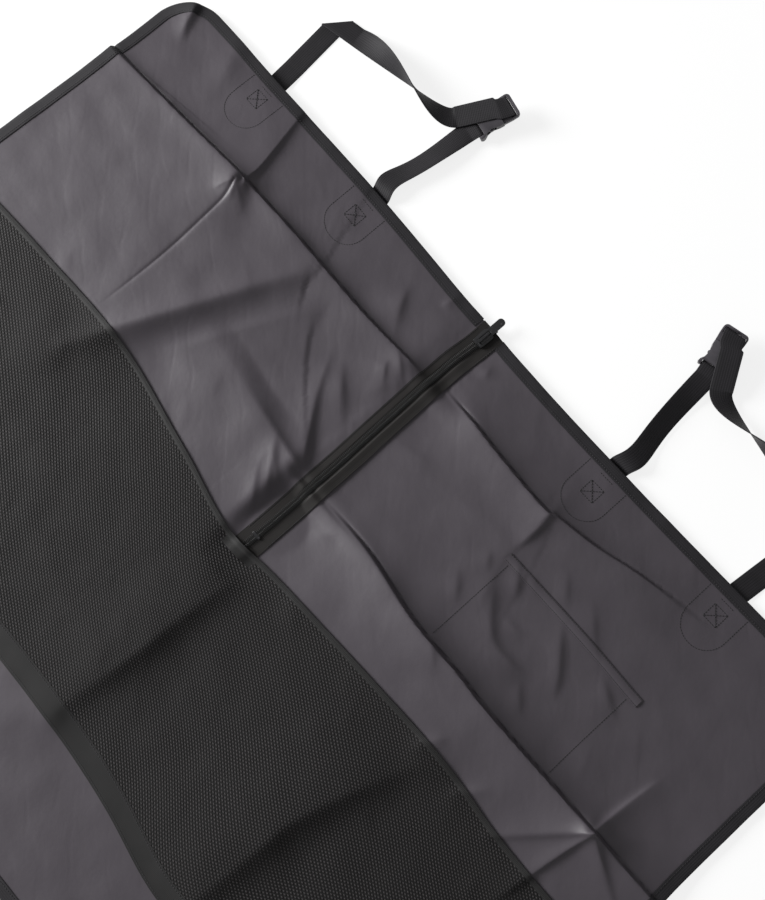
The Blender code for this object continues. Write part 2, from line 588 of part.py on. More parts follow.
for side, name in ((-1, "left"), (1, "right")):
    loop_axis = axis(f"{name}_loop_axis", cover, (0, edge_y, swing_height))
    drop = (0, 0, -swing_height)
    for strap, sections in (("inner", socket_strap()), ("outer", plug_strap())):
        shape = ribbon(sections)
        if side > 0:
            bmesh.ops.scale(shape, vec=(-1, 1, 1), verts=shape.verts)
        add(f"strap_{name}_{strap}", shape, webbing, loop_axis, drop)

    buckle = axis(f"{name}_buckle", loop_axis, (side * BUCKLE_X, BUCKLE_Y, BUCKLE_LIFT - swing_height),
                  (BUCKLE_PITCH, 0, side * BUCKLE_TURN))
    middle = SOCKET_HEIGHT / 2

    socket = add(f"buckle_{name}_socket", slab(socket_outline(), 0, SOCKET_HEIGHT), nylon, buckle)
    cavity = SOCKET_MOUTH - 2 * SOCKET_WALL
    cavity_start = SOCKET_BAR + STRAP_SLOT + SOCKET_WALL
    wall = (SOCKET_WALL, SOCKET_HEIGHT - SOCKET_WALL)
    carve(socket, box((-cavity / 2, cavity / 2), (cavity_start, SOCKET_LENGTH * 1.1), wall))
    carve(socket, box((-SOCKET_FLARE, SOCKET_FLARE), (WINDOW_START, WINDOW_START + WINDOW_LENGTH), wall))
    half_slot = STRAP_SLOT_WIDTH / 2
    carve(socket, box((-half_slot, half_slot), (SOCKET_BAR, SOCKET_BAR + STRAP_SLOT),
                      (-SOCKET_HEIGHT, 2 * SOCKET_HEIGHT)))
    bar_half = SOCKET_BAR_HEIGHT / 2
    for lane in ((middle + bar_half, 2 * SOCKET_HEIGHT), (-SOCKET_HEIGHT, middle - bar_half)):
        carve(socket, box((-half_slot, half_slot), (-SOCKET_BAR, SOCKET_BAR + STRAP_SLOT / 2), lane))

    plug_axis = axis(f"{name}_release_axis", buckle)
    base = SOCKET_LENGTH + CLEARANCE
    end = base + PLUG_LENGTH
    shell = rounded([
        (-SOCKET_MOUTH / 2, base, 0), (SOCKET_MOUTH / 2, base, 0),
        (PLUG_WIDTH / 2, base + PLUG_LENGTH / 2, 0), (PLUG_WIDTH / 2, end, PLUG_CORNER),
        (-PLUG_WIDTH / 2, end, PLUG_CORNER),
        (-PLUG_WIDTH / 2, base + PLUG_LENGTH / 2, 0),
    ], 5)
    plug_half = PLUG_HEIGHT / 2
    plug = add(f"buckle_{name}_plug", slab(shell, middle - plug_half, middle + plug_half), nylon, plug_axis)
    second = end - LADDER_END_BAR - LADDER_SLOT
    right_through = (-SOCKET_HEIGHT, 2 * SOCKET_HEIGHT)
    for start in (second, second - LADDER_BAR - LADDER_SLOT):
        carve(plug, box((-half_slot, half_slot), (start, start + LADDER_SLOT), right_through))
    tongue = rounded([
        (-TONGUE_WIDTH / 2, base + LADDER_BAR, 0),
        (-TONGUE_WIDTH / 2, base - TONGUE_LENGTH, TONGUE_WIDTH / 4),
        (TONGUE_WIDTH / 2, base - TONGUE_LENGTH, TONGUE_WIDTH / 4),
        (TONGUE_WIDTH / 2, base + LADDER_BAR, 0),
    ], 3)
    tongue_half = TONGUE_HEIGHT / 2
    carve(plug, slab(tongue, middle - tongue_half, middle + tongue_half), "UNION")

    for hand, prong in ((-1, "near"), (1, "far")):
        turn = axis(f"{name}_{prong}_prong_axis", plug_axis, (hand * PRONG_OFFSET, SOCKET_LENGTH, middle))
        arm = slab(prong_outline(hand), -PRONG_HEIGHT / 2, PRONG_HEIGHT / 2)
        add(f"buckle_{name}_prong_{prong}", arm, nylon, turn, (-hand * PRONG_OFFSET, -SOCKET_LENGTH, 0))

# Centre the footprint on the origin
bpy.context.view_layer.update()
pieces = [piece for piece in bpy.data.objects if piece.type == "MESH" and not piece.hide_render]
reach = [(piece.matrix_world @ corner.co).y for piece in pieces for corner in piece.data.vertices]
cover.location.y = -(min(reach) + max(reach)) / 2
bpy.context.view_layer.update()
for empty in bpy.data.objects:
    if empty.type == "EMPTY":
        place = empty.matrix_world.translation
        print(f"{empty.name}: {place.x:.5f} {place.y:.5f} {place.z:.5f}")
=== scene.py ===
"""Flat protective cover lying underside up: creased coated cloth, grip knit, coil zip, buckled strap loops.

Plan lengths are millimetres from the middle of the strapped edge: x along that edge, y out of it (negative
on the cover) and z over the floor. placed() turns them into the frame's metres.
"""
import json
import math

import bmesh
import bpy
import numpy as np
from mathutils import Matrix, Vector


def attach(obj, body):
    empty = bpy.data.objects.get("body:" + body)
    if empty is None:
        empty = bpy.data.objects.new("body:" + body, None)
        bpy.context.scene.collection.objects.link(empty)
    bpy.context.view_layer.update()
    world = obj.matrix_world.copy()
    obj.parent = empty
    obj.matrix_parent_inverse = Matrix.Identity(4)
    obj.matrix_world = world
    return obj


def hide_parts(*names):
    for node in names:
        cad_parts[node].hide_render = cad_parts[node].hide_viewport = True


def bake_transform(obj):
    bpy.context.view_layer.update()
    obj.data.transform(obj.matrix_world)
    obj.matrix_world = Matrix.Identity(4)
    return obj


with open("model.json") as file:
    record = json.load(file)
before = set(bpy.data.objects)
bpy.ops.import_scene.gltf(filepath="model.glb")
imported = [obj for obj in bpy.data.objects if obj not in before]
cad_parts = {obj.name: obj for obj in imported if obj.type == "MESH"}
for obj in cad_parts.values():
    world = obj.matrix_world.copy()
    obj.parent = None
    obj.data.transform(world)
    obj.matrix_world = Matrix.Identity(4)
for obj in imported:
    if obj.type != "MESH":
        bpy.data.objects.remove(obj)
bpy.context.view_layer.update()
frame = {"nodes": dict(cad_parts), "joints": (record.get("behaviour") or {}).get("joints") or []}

seam_axis = next(joint["pos_m"] for joint in frame["joints"] if joint["name"] == "back_fold")

# Cover, as cut
HALF_WIDTH = 540.0
BACK_DEPTH = 350.0
MESH_END = -605.0
COVER_END = -760.0
CORNER = 50.0
EDGE_Y = seam_axis[1] * 1000 + BACK_DEPTH
CLOTH = 1.0
CLOTH_STEP = 2.6
SIDE_MARGIN = 0.9

# Heights of sewn layers over the cloth's underside
HEM_UP = (1.3, 2.1)
KNIT_UP = (1.3, 2.3)
TAPE_UP = (1.4, 2.1)
COIL_UP = (2.2, 4.4)
BINDING_TOP = 1.85
MESH_HALF = 526.7
THREAD_RADIUS = 0.32
STITCH_PITCH = 3.0
STITCH_GAP = 0.5

rng = np.random.default_rng(11)


def ease(t):
    """Smoothstep 3t^2 - 2t^3 of t held between 0 and 1."""
    t = np.clip(t, 0.0, 1.0)
    return t * t * (3 - 2 * t)


def hermite(t, start, end, start_slope, end_slope):
    """Cubic from start to end, at t from 0 to 1, with its slopes at both."""
    first = (1 + 2 * t) * (1 - t) ** 2 * start + t * (1 - t) ** 2 * start_slope
    return first + t * t * (3 - 2 * t) * end + t * t * (t - 1) * end_slope


def through(x, stops):
    """Cubic Hermite curve through (place, value) stops, level past both ends."""
    place, value = np.array(stops, float).T
    slope = np.gradient(value, place)
    slope[[0, -1]] = 0
    x = np.clip(x, place[0], place[-1])
    i = np.clip(np.searchsorted(place, x) - 1, 0, len(place) - 2)
    span = place[i + 1] - place[i]
    return hermite((x - place[i]) / span, value[i], value[i + 1], span * slope[i], span * slope[i + 1])


def lengths(points):
    """Length along a run of points, at each of them."""
    return np.concatenate([[0], np.cumsum(np.linalg.norm(np.diff(points, axis=0), axis=1))])


def units(rows):
    """Vectors brought to length 1, one a row."""
    return rows / np.linalg.norm(rows, axis=1)[:, None]


def placed(x, y, z):
    """Plan millimetres to the frame's metres."""
    return np.stack(np.broadcast_arrays(x, y + EDGE_Y, z), -1) / 1000


# How far each sewn line lies from where it was cut, along the strapped edge
EDGE_DRIFT = [(-540, 15), (-482, 15), (-380, 11.5), (-170, 6), (-103, 2), (-38, -2), (0, -2.5), (26, -5),
              (70, -7), (220, -8), (400, -5), (540, -2)]
SEAM_DRIFT = [(-540, 30), (-400, 33), (-246, 31), (-122, 8.4), (0, -12), (22, -9.5), (118, -5), (204, -2.5),
              (269, -1.3), (321, -3.3), (375, -9.3), (459, -12), (540, -10)]
HEM_DRIFT = [(-540, 14), (-300, 12), (110, 0), (203, -17), (330, -8), (540, 0)]
SIDE_DRIFT = 9.0
ZIP_DRIFT = [(-363, 0), (-330, 0.4), (-290, 0.5), (-210, 0), (-180, -0.8), (-130, -1.8), (-95, -2.4),
             (-50, -2.2), (-36, -0.9), (-12, -0.3), (0, -0.3)]


def laid(x, y):
    """Plan place of a flat point as the cover lies: each sewn line drifts, with smoothstep between lines."""
    lines = ((0.0, EDGE_DRIFT), (-BACK_DEPTH, SEAM_DRIFT), (MESH_END, HEM_DRIFT))
    drift = [through(x, stops) for _, stops in lines] + [np.zeros_like(x)]
    places = [place for place, _ in lines] + [COVER_END]
    shift = drift[0]
    for k in range(3):
        share = ease((places[k] - y) / (places[k] - places[k + 1]))
        shift = np.where(y < places[k], drift[k] * (1 - share) + drift[k + 1] * share, shift)
    drawn_in = SIDE_DRIFT * ease((-x - 300) / 240) * ease((y + BACK_DEPTH) / 260)
    return x + drawn_in, y + shift


def beside(path, off):
    """A path moved over in y."""
    return [(x, y + off) for x, y in path]


# Creases of the cloth as it lies: path, height at each of its points, how far the height falls away to the
# left and to the right of the path, and how blunt the crest is
FIRST_LEFT = [(-558, -101), (-428, -98), (-314, -94), (-240, -93.5), (-168, -95.5), (-100, -97), (-26, -95),
              (-4, -94)]
FIRST_RIGHT = [(8, -87), (62, -91), (101, -95), (179, -99), (195, -94), (243, -85), (302, -69), (403, -49)]
SECOND = [(5, -262), (89, -264), (175, -277), (244, -279), (296, -282), (445, -282), (558, -282)]
ACROSS_STRIP = [(-307, -93), (-308, -72), (-313, -48), (-319, -23), (-325, 1), (-327, 12)]
LONG_RIDGE = [(-167, -108), (-187, -124), (-232, -224), (-266, -298), (-294, -358)]
INTO_ZIP = [(-215, -234), (-158, -240), (-105, -249), (-61, -254), (-31, -257)]
CREASES = [
    # packing folds: a steep step, its broad swell and the pinch at its foot
    (FIRST_LEFT, [5, 6, 6, 6, 6, 6, 5, 1.2], 2.0, 110, .12),
    (FIRST_LEFT, [1.5, 2.4, 2.4, 2.4, 2.4, 2.4, 2, 0.5], 8, 15, .4),
    (beside(FIRST_LEFT, 3.4), [-2, -2.6, -2.6, -2.6, -2.6, -2.6, -2, 0], 1.3, 1.3, .2),
    (FIRST_RIGHT, [2, 5, 5.5, 5.5, 5.5, 4.5, 3.5, 0], 1.6, 22, .12),
    (FIRST_RIGHT, [6, 8, 8.5, 8.5, 8.5, 6, 4, 0], 32, 55, .3),
    (FIRST_RIGHT, [0, 2, 2.5, 2.5, 2.5, 2, 1.5, 0], 12, 60, .3),
    (beside(FIRST_RIGHT, 3.2), [0, -2.8, -2.8, -2.8, -2.8, -2.4, -2, 0], 1.3, 1.3, .2),
    (SECOND, [2, 4, 6, 6, 6, 5.5, 4.5], 1.6, 22, .12),
    (SECOND, [3, 6, 9.5, 9.5, 9.5, 8, 6], 25, 60, .3),
    (SECOND, [0.5, 2.5, 3.2, 3.2, 3.2, 2.5, 2], 11, 60, .3),
    (beside(SECOND, 3.2), [0, -3, -3, -3, -3, -2.6, -2], 1.3, 1.3, .2),
    # crease across the strapped strip, and the thin groove on from it
    (ACROSS_STRIP, [4.5, 4, 3.6, 3, 2, 1], 90, 2.2, .15),
    (ACROSS_STRIP, [3, 2.5, 2, 1.5, 1, 0.5], 90, 9, .4),
    ([(-312, -102), (-306, -122), (-304, -155), (-301, -216), (-301, -263), (-302, -310)],
     [-2.2, -1.4, -1.3, -1.2, -0.7, 0], 1.5, 1.5, .3),
    ([(-310, -103), (-304, -113), (-296, -127)], [1.2, 1.4, 0], 2.4, 12, .3),
    ([(-312, -103), (-317, -115), (-322, -131)], [0.8, 1, 0], 2.4, 9, .3),
    ([(-307, -105), (-290, -114), (-272, -127)], [1.2, 1.3, 0], 3, 12, .4),
    # long soft ridge with a lower one beyond its valley
    (LONG_RIDGE, [2, 5, 8.5, 8.5, 5], 13, 60, 1.2),
    (LONG_RIDGE, [1, 2.5, 5, 4.5, 2], 9, 9, .8),
    ([(-128, -130), (-150, -150), (-194, -244), (-220, -300)], [0, 2.5, 3.5, 0], 50, 9, .8),
    # ridge that runs into the zip: broad at first with a trough beside it, then sharp
    (INTO_ZIP, [0, 4, 7, 4.5, 2], 13, 50, 1.2),
    (beside(INTO_ZIP, 23), [0, -1.2, -2, -0.5, 0], 6, 11, .6),
    ([(-141, -240), (-85, -250), (-31, -258), (-13, -258)], [0, 3, 6, 3], 4.5, 24, .5),
    # puckers drawn to the zip
    ([(-107, -132), (-79, -181), (-51, -219), (-24, -251)], [0, 2, 4.5, 6], 3.2, 22, .4),
    ([(-86, -145), (-60, -168), (-34, -190)], [0, 3, 1.5], 3.6, 22, .5),
    ([(-52, -110), (-44, -121), (-32, -134)], [0, 2, 1], 2.8, 14, .4),
    ([(-60, -92), (-40, -103), (-20, -118)], [0, 1.6, 1.4], 2.6, 12, .4),
    ([(-59, -261), (-38, -287), (-21, -306)], [0, 2.4, 2.8], 3.0, 15, .3),
    ([(-58, -283), (-42, -303), (-28, -318)], [0, 1.8, 2.4], 2.6, 12, .3),
    ([(-72, -246), (-52, -268), (-30, -283)], [0, 2, 2], 2.8, 14, .3),
    ([(18, -178), (80, -165), (151, -153), (211, -142)], [2, 3, 2.5, 0], 14, 60, .9),
    ([(22, -163), (52, -158), (79, -148)], [2.5, 2, 0], 5, 14, .5),
    ([(28, -299), (44, -288), (60, -274)], [0, 2, 0], 5, 12, .5),
    # ridges of the grip knit
    ([(20, -372), (14, -426), (9, -517), (0, -600)], [2, 7, 9, 4], 10, 45, 1.0),
    ([(279, -373), (257, -435), (240, -498), (238, -533), (234, -602), (231, -645)], [4, 9, 10, 10, 7, 0],
     11, 60, 1.0),
    # creases that meet on the second fold
    ([(445, -282), (453, -218), (458, -190)], [5, 2.5, 0], 3, 14, .3),
    ([(445, -282), (434, -366), (428, -420)], [5, 3, 0], 3, 14, .3),
    ([(445, -282), (506, -312), (540, -330)], [4, 2, 0], 3, 12, .3),
    ([(445, -282), (390, -351), (372, -370)], [4, 2, 0], 3, 12, .3),
    # short creases of the strip and of the corner
    ([(-103, -30), (-88, -58), (-69, -85)], [0, 3, 1], 5, 14, .4),
    ([(-56, -30), (-55, -20), (-54, -10)], [0, 1.5, 1], 4, 8, .4),
    ([(24, -28), (30, -40), (35, -52)], [0, 2.5, 0], 5, 10, .4),
    ([(-506, 2), (-497, -18), (-483, -42)], [5, 4, 0], 2.5, 12, .3),
    ([(-433, -2), (-421, -27), (-409, -52)], [2, 1.8, 0], 10, 10, .8),
    ([(188, -99), (190, -112), (191, -128), (189, -148)], [4, 4, 3.5, 1], 2.2, 20, .2),
    ([(271, -351), (279, -338), (287, -324)], [2, 2, 0], 5, 10, .5),
    ([(330, -356), (342, -341), (354, -326)], [2, 2, 0], 5, 10, .5),
    # wrinkles over the pocket and above its mouth
    ([(160, -201), (178, -218), (193, -236)], [0, 1.8, 0], 2.8, 16, .4),
    ([(198, -183), (215, -205), (242, -228), (269, -231), (303, -227)], [0, 3.0, 3.6, 3.2, 0], 5, 22, .5),
    ([(272, -158), (294, -181), (316, -205), (329, -228)], [0, 2.4, 2.4, 0], 3, 18, .4),
    ([(338, -166), (362, -179), (392, -194)], [0, 2.2, 0], 3, 16, .4),
    ([(203, -156), (217, -170), (232, -188)], [0.5, 2.0, 0], 2.8, 14, .4),
    ([(170, -166), (180, -177), (192, -190)], [0, 1.3, 0], 2.8, 12, .4),
    ([(286, -232), (303, -247), (320, -264)], [0, 1.8, 0], 3, 15, .4),
    ([(186, -161), (197, -190), (211, -230)], [1, 2.4, 0], 6, 22, .6),
    ([(276, -120), (304, -143), (330, -165)], [0, 1.3, 0], 2.8, 14, .4),
    ([(236, -118), (255, -136), (272, -154)], [0, 1.2, 0], 2.8, 14, .4),
    ([(192, -268), (213, -284), (232, -302)], [0, 1.4, 0], 2.8, 14, .4),
    ([(226, -200), (247, -203), (268, -198)], [0, 1.2, 0], 2.8, 12, .4),
]
PITS = [(-308, -96, 4.0, 5.0), (-16, -262, 4.0, 8.0), (16, -94, 4.0, 8.0), (445, -281, 5.0, 6.0)]


def run(path, step=4.0):
    """Catmull-Rom curve through plan points, as points about a step apart and their share along the path."""
    knots = np.array(path, float)
    length = np.linalg.norm(np.diff(knots, axis=0), axis=1).sum()
    share = np.linspace(0, len(knots) - 1, max(4, int(length / step)))
    slope = np.gradient(knots, axis=0)
    i = np.clip(share.astype(int), 0, len(knots) - 2)
    t = (share - i)[:, None]
    return hermite(t, knots[i], knots[i + 1], slope[i], slope[i + 1]), share


def ridge(x, y, path, heights, left, right, blunt):
    """Height of one crease: h exp(blunt - sqrt(u^2 + blunt^2)), u the distance off the path over the fall-off
    of that side, which turns smoothly round the path's ends, and h eased along the path."""
    line, share = run(path)
    reach = 5 * max(left, right)
    low, high = line.min(axis=0) - reach, line.max(axis=0) + reach
    total = np.zeros(x.shape)
    near = (x > low[0]) & (x < high[0]) & (y > low[1]) & (y < high[1])
    px, py = x[near], y[near]
    best = np.full(px.shape, np.inf)
    side = np.zeros(px.shape)
    along = np.zeros(px.shape)
    for (ax, ay), (bx, by), start, end in zip(line[:-1], line[1:], share[:-1], share[1:]):
        dx, dy = bx - ax, by - ay
        t = np.clip(((px - ax) * dx + (py - ay) * dy) / (dx * dx + dy * dy), 0, 1)
        qx, qy = px - ax - t * dx, py - ay - t * dy
        gap = qx * qx + qy * qy
        closer = gap < best
        best = np.where(closer, gap, best)
        side = np.where(closer, (dx * qy - dy * qx) / math.hypot(dx, dy), side)
        along = np.where(closer, start + t * (end - start), along)
    off = np.sqrt(best)
    lean = 0.5 + 0.5 * side / (off + 1e-6)
    u = off / (right + (left - right) * lean)
    height = through(along, list(enumerate(heights)))
    total[near] = height * np.exp(blunt - np.sqrt(u * u + blunt * blunt))
    return total


# The cloth was packed rolled, so its small wrinkles all run one way, a little scattered about it
GRAIN = math.radians(138)
SMALL_CREASES = []
for _ in range(60):
    cx, cy = rng.uniform(-520, 520), rng.uniform(-745, -15)
    turn = GRAIN + rng.normal(0, 0.3)
    half = rng.uniform(16, 40)
    dx, dy = half * math.cos(turn), half * math.sin(turn)
    bow = rng.normal(0, 3)
    middle = (cx - dy / half * bow, cy + dx / half * bow)
    SMALL_CREASES.append(([(cx - dx, cy - dy), middle, (cx + dx, cy + dy)], [0, rng.uniform(0.25, 0.7), 0],
                          rng.uniform(9, 18), rng.uniform(2.6, 4.5), 0.4))

# Puckers where the cloth is gathered on to the zip's tapes, the same way
PUCKER_ROOT = 16
for side in (-1, 1):
    for cy in np.arange(-318, -30, 10.5):
        reach = rng.uniform(9, 18)
        y0 = cy + rng.uniform(-3, 3)
        end = (side * (PUCKER_ROOT + reach * 0.75), y0 - side * reach * 0.66)
        middle = (side * (PUCKER_ROOT + reach * 0.36), y0 - side * reach * 0.30)
        falls = (2.4, 4.5) if side > 0 else (4.5, 2.4)
        heights = [rng.uniform(0.5, 1.3), 0.7, 0]
        SMALL_CREASES.append(([(side * PUCKER_ROOT, y0), middle, end], heights, *falls, 0.4))


# Height of the zip's stiff tapes along their length, low where the slider stops at either end
ZIP_LEVEL = [(-363, 0), (-282, 0), (-268, 4.4), (-263, 3.2), (-258, 4.8), (-240, 5.2), (-120, 5.2),
             (-97, 5.6), (-89, 1.8), (-84, 0.8), (-60, 0.5), (-36, 0), (0, 0)]

# Slack in the cloth: plane waves of 25 to 80 mm across the grain, each of the same small slope
WAVE_SLOPE = 0.007
WAVES = np.stack([rng.uniform(25, 80, 16), rng.normal(GRAIN - math.pi / 2, 0.5, 16),
                  rng.uniform(0, 2 * math.pi, 16)], -1)


def between_stops(y):
    """1 along the zip between the places where its slider stops, eased to 0 there."""
    return ease((-y - 36) / 25) * ease((y + 285) / 20)


def relief(x, y):
    """Height of the cloth over its flat lie: a broad undulation, the slack, the creases and the pits, brought
    near one level along the zip and kept from going under the floor."""
    total = 1.3 + 0.5 * np.sin(x / 83 + y / 190) + 0.4 * np.sin(y / 61 - x / 240 + 1.0)
    for length, heading, phase in WAVES:
        turns = 2 * math.pi / length
        across = x * math.cos(heading) + y * math.sin(heading)
        total = total + WAVE_SLOPE / turns * np.sin(turns * across + phase)
    for crease in CREASES + SMALL_CREASES:
        total = total + ridge(x, y, *crease)
    for px, py, depth, radius in PITS:
        total = total - depth * np.exp(-((x - px) ** 2 + (y - py) ** 2) / radius**2)
    reach = np.where(x < 0, 27, 27 + 33 * ease((-y - 70) / 40))
    calm = np.exp(-(abs(x / reach) ** np.where(x < 0, 4, 2))) * ease((y + 400) / 40)
    total = total * (1 - (1 - 0.15 * between_stops(y)) * calm) + through(y, ZIP_LEVEL) * calm
    return (total + np.sqrt(total * total + 0.09)) / 2


def ground(y):
    """Height of the cloth's underside: on the floor under the seat, lifted on its patches at the edge."""
    return 0.9 + 3.05 * np.clip((y + BACK_DEPTH) / BACK_DEPTH, 0, 1)


def on_cover(x, y, ups, drift=True):
    """Frame places of flat points of the cover, at each of some heights up over the cloth's underside."""
    lx, ly = laid(x, y) if drift else (x, y)
    under = ground(y) + relief(lx, ly)
    return [placed(lx, ly, under + up) for up in ups]


# Meshes

def make(name, points, faces, look, uv, sharp=50):
    """A mesh object from points, quads and one UV per point, faces turned outwards by the signed volume."""
    points = points.reshape(-1, 3)
    a, b, c, d = (points[faces[:, k]] for k in range(4))
    volume = np.einsum("ij,ij->", a, np.cross(b, c)) + np.einsum("ij,ij->", a, np.cross(c, d))
    if volume < 0:
        faces = faces[:, ::-1]
    mesh = bpy.data.meshes.new(name)
    mesh.vertices.add(len(points))
    mesh.vertices.foreach_set("co", points.astype(np.float32).ravel())
    mesh.loops.add(faces.size)
    mesh.loops.foreach_set("vertex_index", faces.astype(np.int32).ravel())
    mesh.polygons.add(len(faces))
    mesh.polygons.foreach_set("loop_start", np.arange(0, faces.size, 4, dtype=np.int32))
    mesh.polygons.foreach_set("use_smooth", np.ones(len(faces), bool))
    flat = mesh.uv_layers.new(name="flat")
    flat.data.foreach_set("uv", uv.reshape(-1, 2)[faces.ravel()].astype(np.float32).ravel())
    mesh.update(calc_edges=True)
    mesh.set_sharp_from_angle(angle=math.radians(sharp))
    mesh.materials.append(look)
    piece = bpy.data.objects.new(name, mesh)
    bpy.context.scene.collection.objects.link(piece)
    return piece


def layered(top, bottom):
    """Points and quads of a closed sheet between two grids of points, rows along +y and columns along +x."""
    rows, cols = top.shape[:2]
    count = rows * cols
    index = np.arange(count).reshape(rows, cols)
    upper = np.stack([index[:-1, :-1], index[:-1, 1:], index[1:, 1:], index[1:, :-1]], -1).reshape(-1, 4)
    loop = np.concatenate([index[0, :-1], index[:-1, -1], index[-1, :0:-1], index[:0:-1, 0]])
    after = np.roll(loop, -1)
    rim = np.stack([loop, loop + count, after + count, after], -1)
    points = np.concatenate([top.reshape(-1, 3), bottom.reshape(-1, 3)])
    return points, np.concatenate([upper, upper[:, ::-1] + count, rim])


def carried(rings):
    """Points and quads of a closed profile carried along a path: a ring of points a section, ends closed."""
    sections, around = rings.shape[:2]
    index = np.arange(sections * around).reshape(sections, around)
    after = np.roll(index, -1, axis=1)
    side = np.stack([index[:-1], after[:-1], after[1:], index[1:]], -1).reshape(-1, 4)
    i = np.arange(around // 2 - 1)
    cap = np.stack([i, i + 1, around - 2 - i, around - 1 - i], -1)
    return rings.reshape(-1, 3), np.concatenate([side, index[0][cap][:, ::-1], index[-1][cap]])


def fold_with_back(*pieces):
    """Bake each piece's placement into its mesh."""
    for piece in pieces:
        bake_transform(piece)


def spaced(low, high, step=CLOTH_STEP, finer=()):
    """Places from low to high about a step apart, closer in each (from, to, step) stretch of finer: the
    inverse of the summed density of places."""
    at = np.linspace(low, high, 4001)
    density = np.full(at.shape, 1 / step)
    for start, end, close in finer:
        inside = ease((at - start) / 6 + 0.5) * ease((end - at) / 6 + 0.5)
        density = np.maximum(density, 1 / step + (1 / close - 1 / step) * inside)
    count = np.concatenate([[0], np.cumsum((density[1:] + density[:-1]) / 2 * np.diff(at))])
    return np.interp(np.linspace(0, count[-1], int(round(count[-1])) + 1), count, at)


def cloth_sheet(name, x, y, up, look, drift=True):
    """A sheet of cloth over flat grids x and y, between two heights up."""
    bottom, top = on_cover(x, y, up, drift)
    points, faces = layered(top, bottom)
    uv = np.stack([x, y], -1) / 1000
    piece = make(name, points, faces, look, np.concatenate([uv.reshape(-1, 2)] * 2))
    return piece


def cornered(inner, outer, low, high, at_top, fine_x=(), fine_y=()):
    """Flat grids of a panel from x inner to outer with its outer corner rounded, at its top or bottom edge.

    Columns are evenly spaced along the edge, round the corner's arc too; rows share the depth left there."""
    radius = CORNER - SIDE_MARGIN
    sign = 1 if outer > inner else -1
    straight = spaced(0, abs(outer - inner) - radius, finer=fine_x)
    arc = np.linspace(0, math.pi / 2, 30)[1:]
    reach = np.concatenate([straight, straight[-1] + radius * np.sin(arc)])
    trim = np.concatenate([np.zeros(len(straight)), radius * (1 - np.cos(arc))])
    share = ((spaced(low, high, finer=fine_y) - low) / (high - low))[:, None]
    if at_top:
        y = low + (high - low - trim) * share
    else:
        y = low + trim + (high - low - trim) * share
    x = np.broadcast_to(inner + sign * reach, y.shape)
    return (x, y) if sign > 0 else (x[:, ::-1], y[:, ::-1])


# Materials

def linear(code, alpha=1.0):
    """An sRGB hex colour as linear RGBA."""
    value = np.array([int(code[i:i + 2], 16) for i in (1, 3, 5)]) / 255
    value = np.where(value <= 0.04045, value / 12.92, ((value + 0.055) / 1.055) ** 2.4)
    return (*value, alpha)


def node(look, kind, inputs=None, **settings):
    """Add a node to a material, or reuse it by name, with its settings; sockets are linked and values set."""
    nodes = look.node_tree.nodes
    made = nodes[kind] if kind in nodes else nodes.new(kind)
    for name, value in settings.items():
        setattr(made, name, value)
    for name, value in (inputs or {}).items():
        if isinstance(value, bpy.types.NodeSocket):
            look.node_tree.links.new(value, made.inputs[name])
        else:
            made.inputs[name].default_value = value
    return made.outputs


def new_look(name):
    """An empty Principled material and the UV and object coordinates its patterns are laid on."""
    look = bpy.data.materials.new(name)
    look.use_nodes = True
    coordinates = node(look, "ShaderNodeTexCoord")
    return look, coordinates["UV"], coordinates["Object"]


WAVE_PERIOD = 2 * math.pi / 20


def waves(look, at, period, direction, more=None):
    """Wave texture of a period in millimetres, on coordinates in metres."""
    inputs = {"Vector": at, "Scale": WAVE_PERIOD * 1000 / period, **(more or {})}
    return node(look, "ShaderNodeTexWave", inputs, bands_direction=direction)["Fac"]


def noise(look, at, size, detail, roughness=0.5):
    """Noise of a size in millimetres, on coordinates in metres."""
    inputs = {"Vector": at, "Scale": 1000 / size, "Detail": detail, "Roughness": roughness}
    return node(look, "ShaderNodeTexNoise", inputs)[0]


def tones(look, share, dark, light):
    """Two hex colours mixed by a share."""
    return node(look, "ShaderNodeMix", {0: share, 6: linear(dark), 7: linear(light)}, data_type="RGBA")[2]


def ranged(look, value, low, high, start=0.0, end=1.0, **settings):
    """A value between start and end taken to one between low and high."""
    return node(look, "ShaderNodeMapRange", {0: value, 1: start, 2: end, 3: low, 4: high}, **settings)[0]


def reckoned(look, operation, *values):
    """One step of arithmetic."""
    return node(look, "ShaderNodeMath", dict(enumerate(values)), operation=operation)[0]


def bumped(look, strength, depth, height, under=None):
    """A bump of a depth in millimetres, on top of another."""
    inputs = {"Strength": strength, "Distance": depth / 1000, "Height": height}
    return node(look, "ShaderNodeBump", {**inputs, "Normal": under} if under else inputs)[0]


def surfaced(look, tone, roughness, normal, more):
    """The material with its Principled inputs joined up."""
    node(look, "Principled BSDF", {"Base Color": tone, "Roughness": roughness, "Normal": normal, **more})
    return look


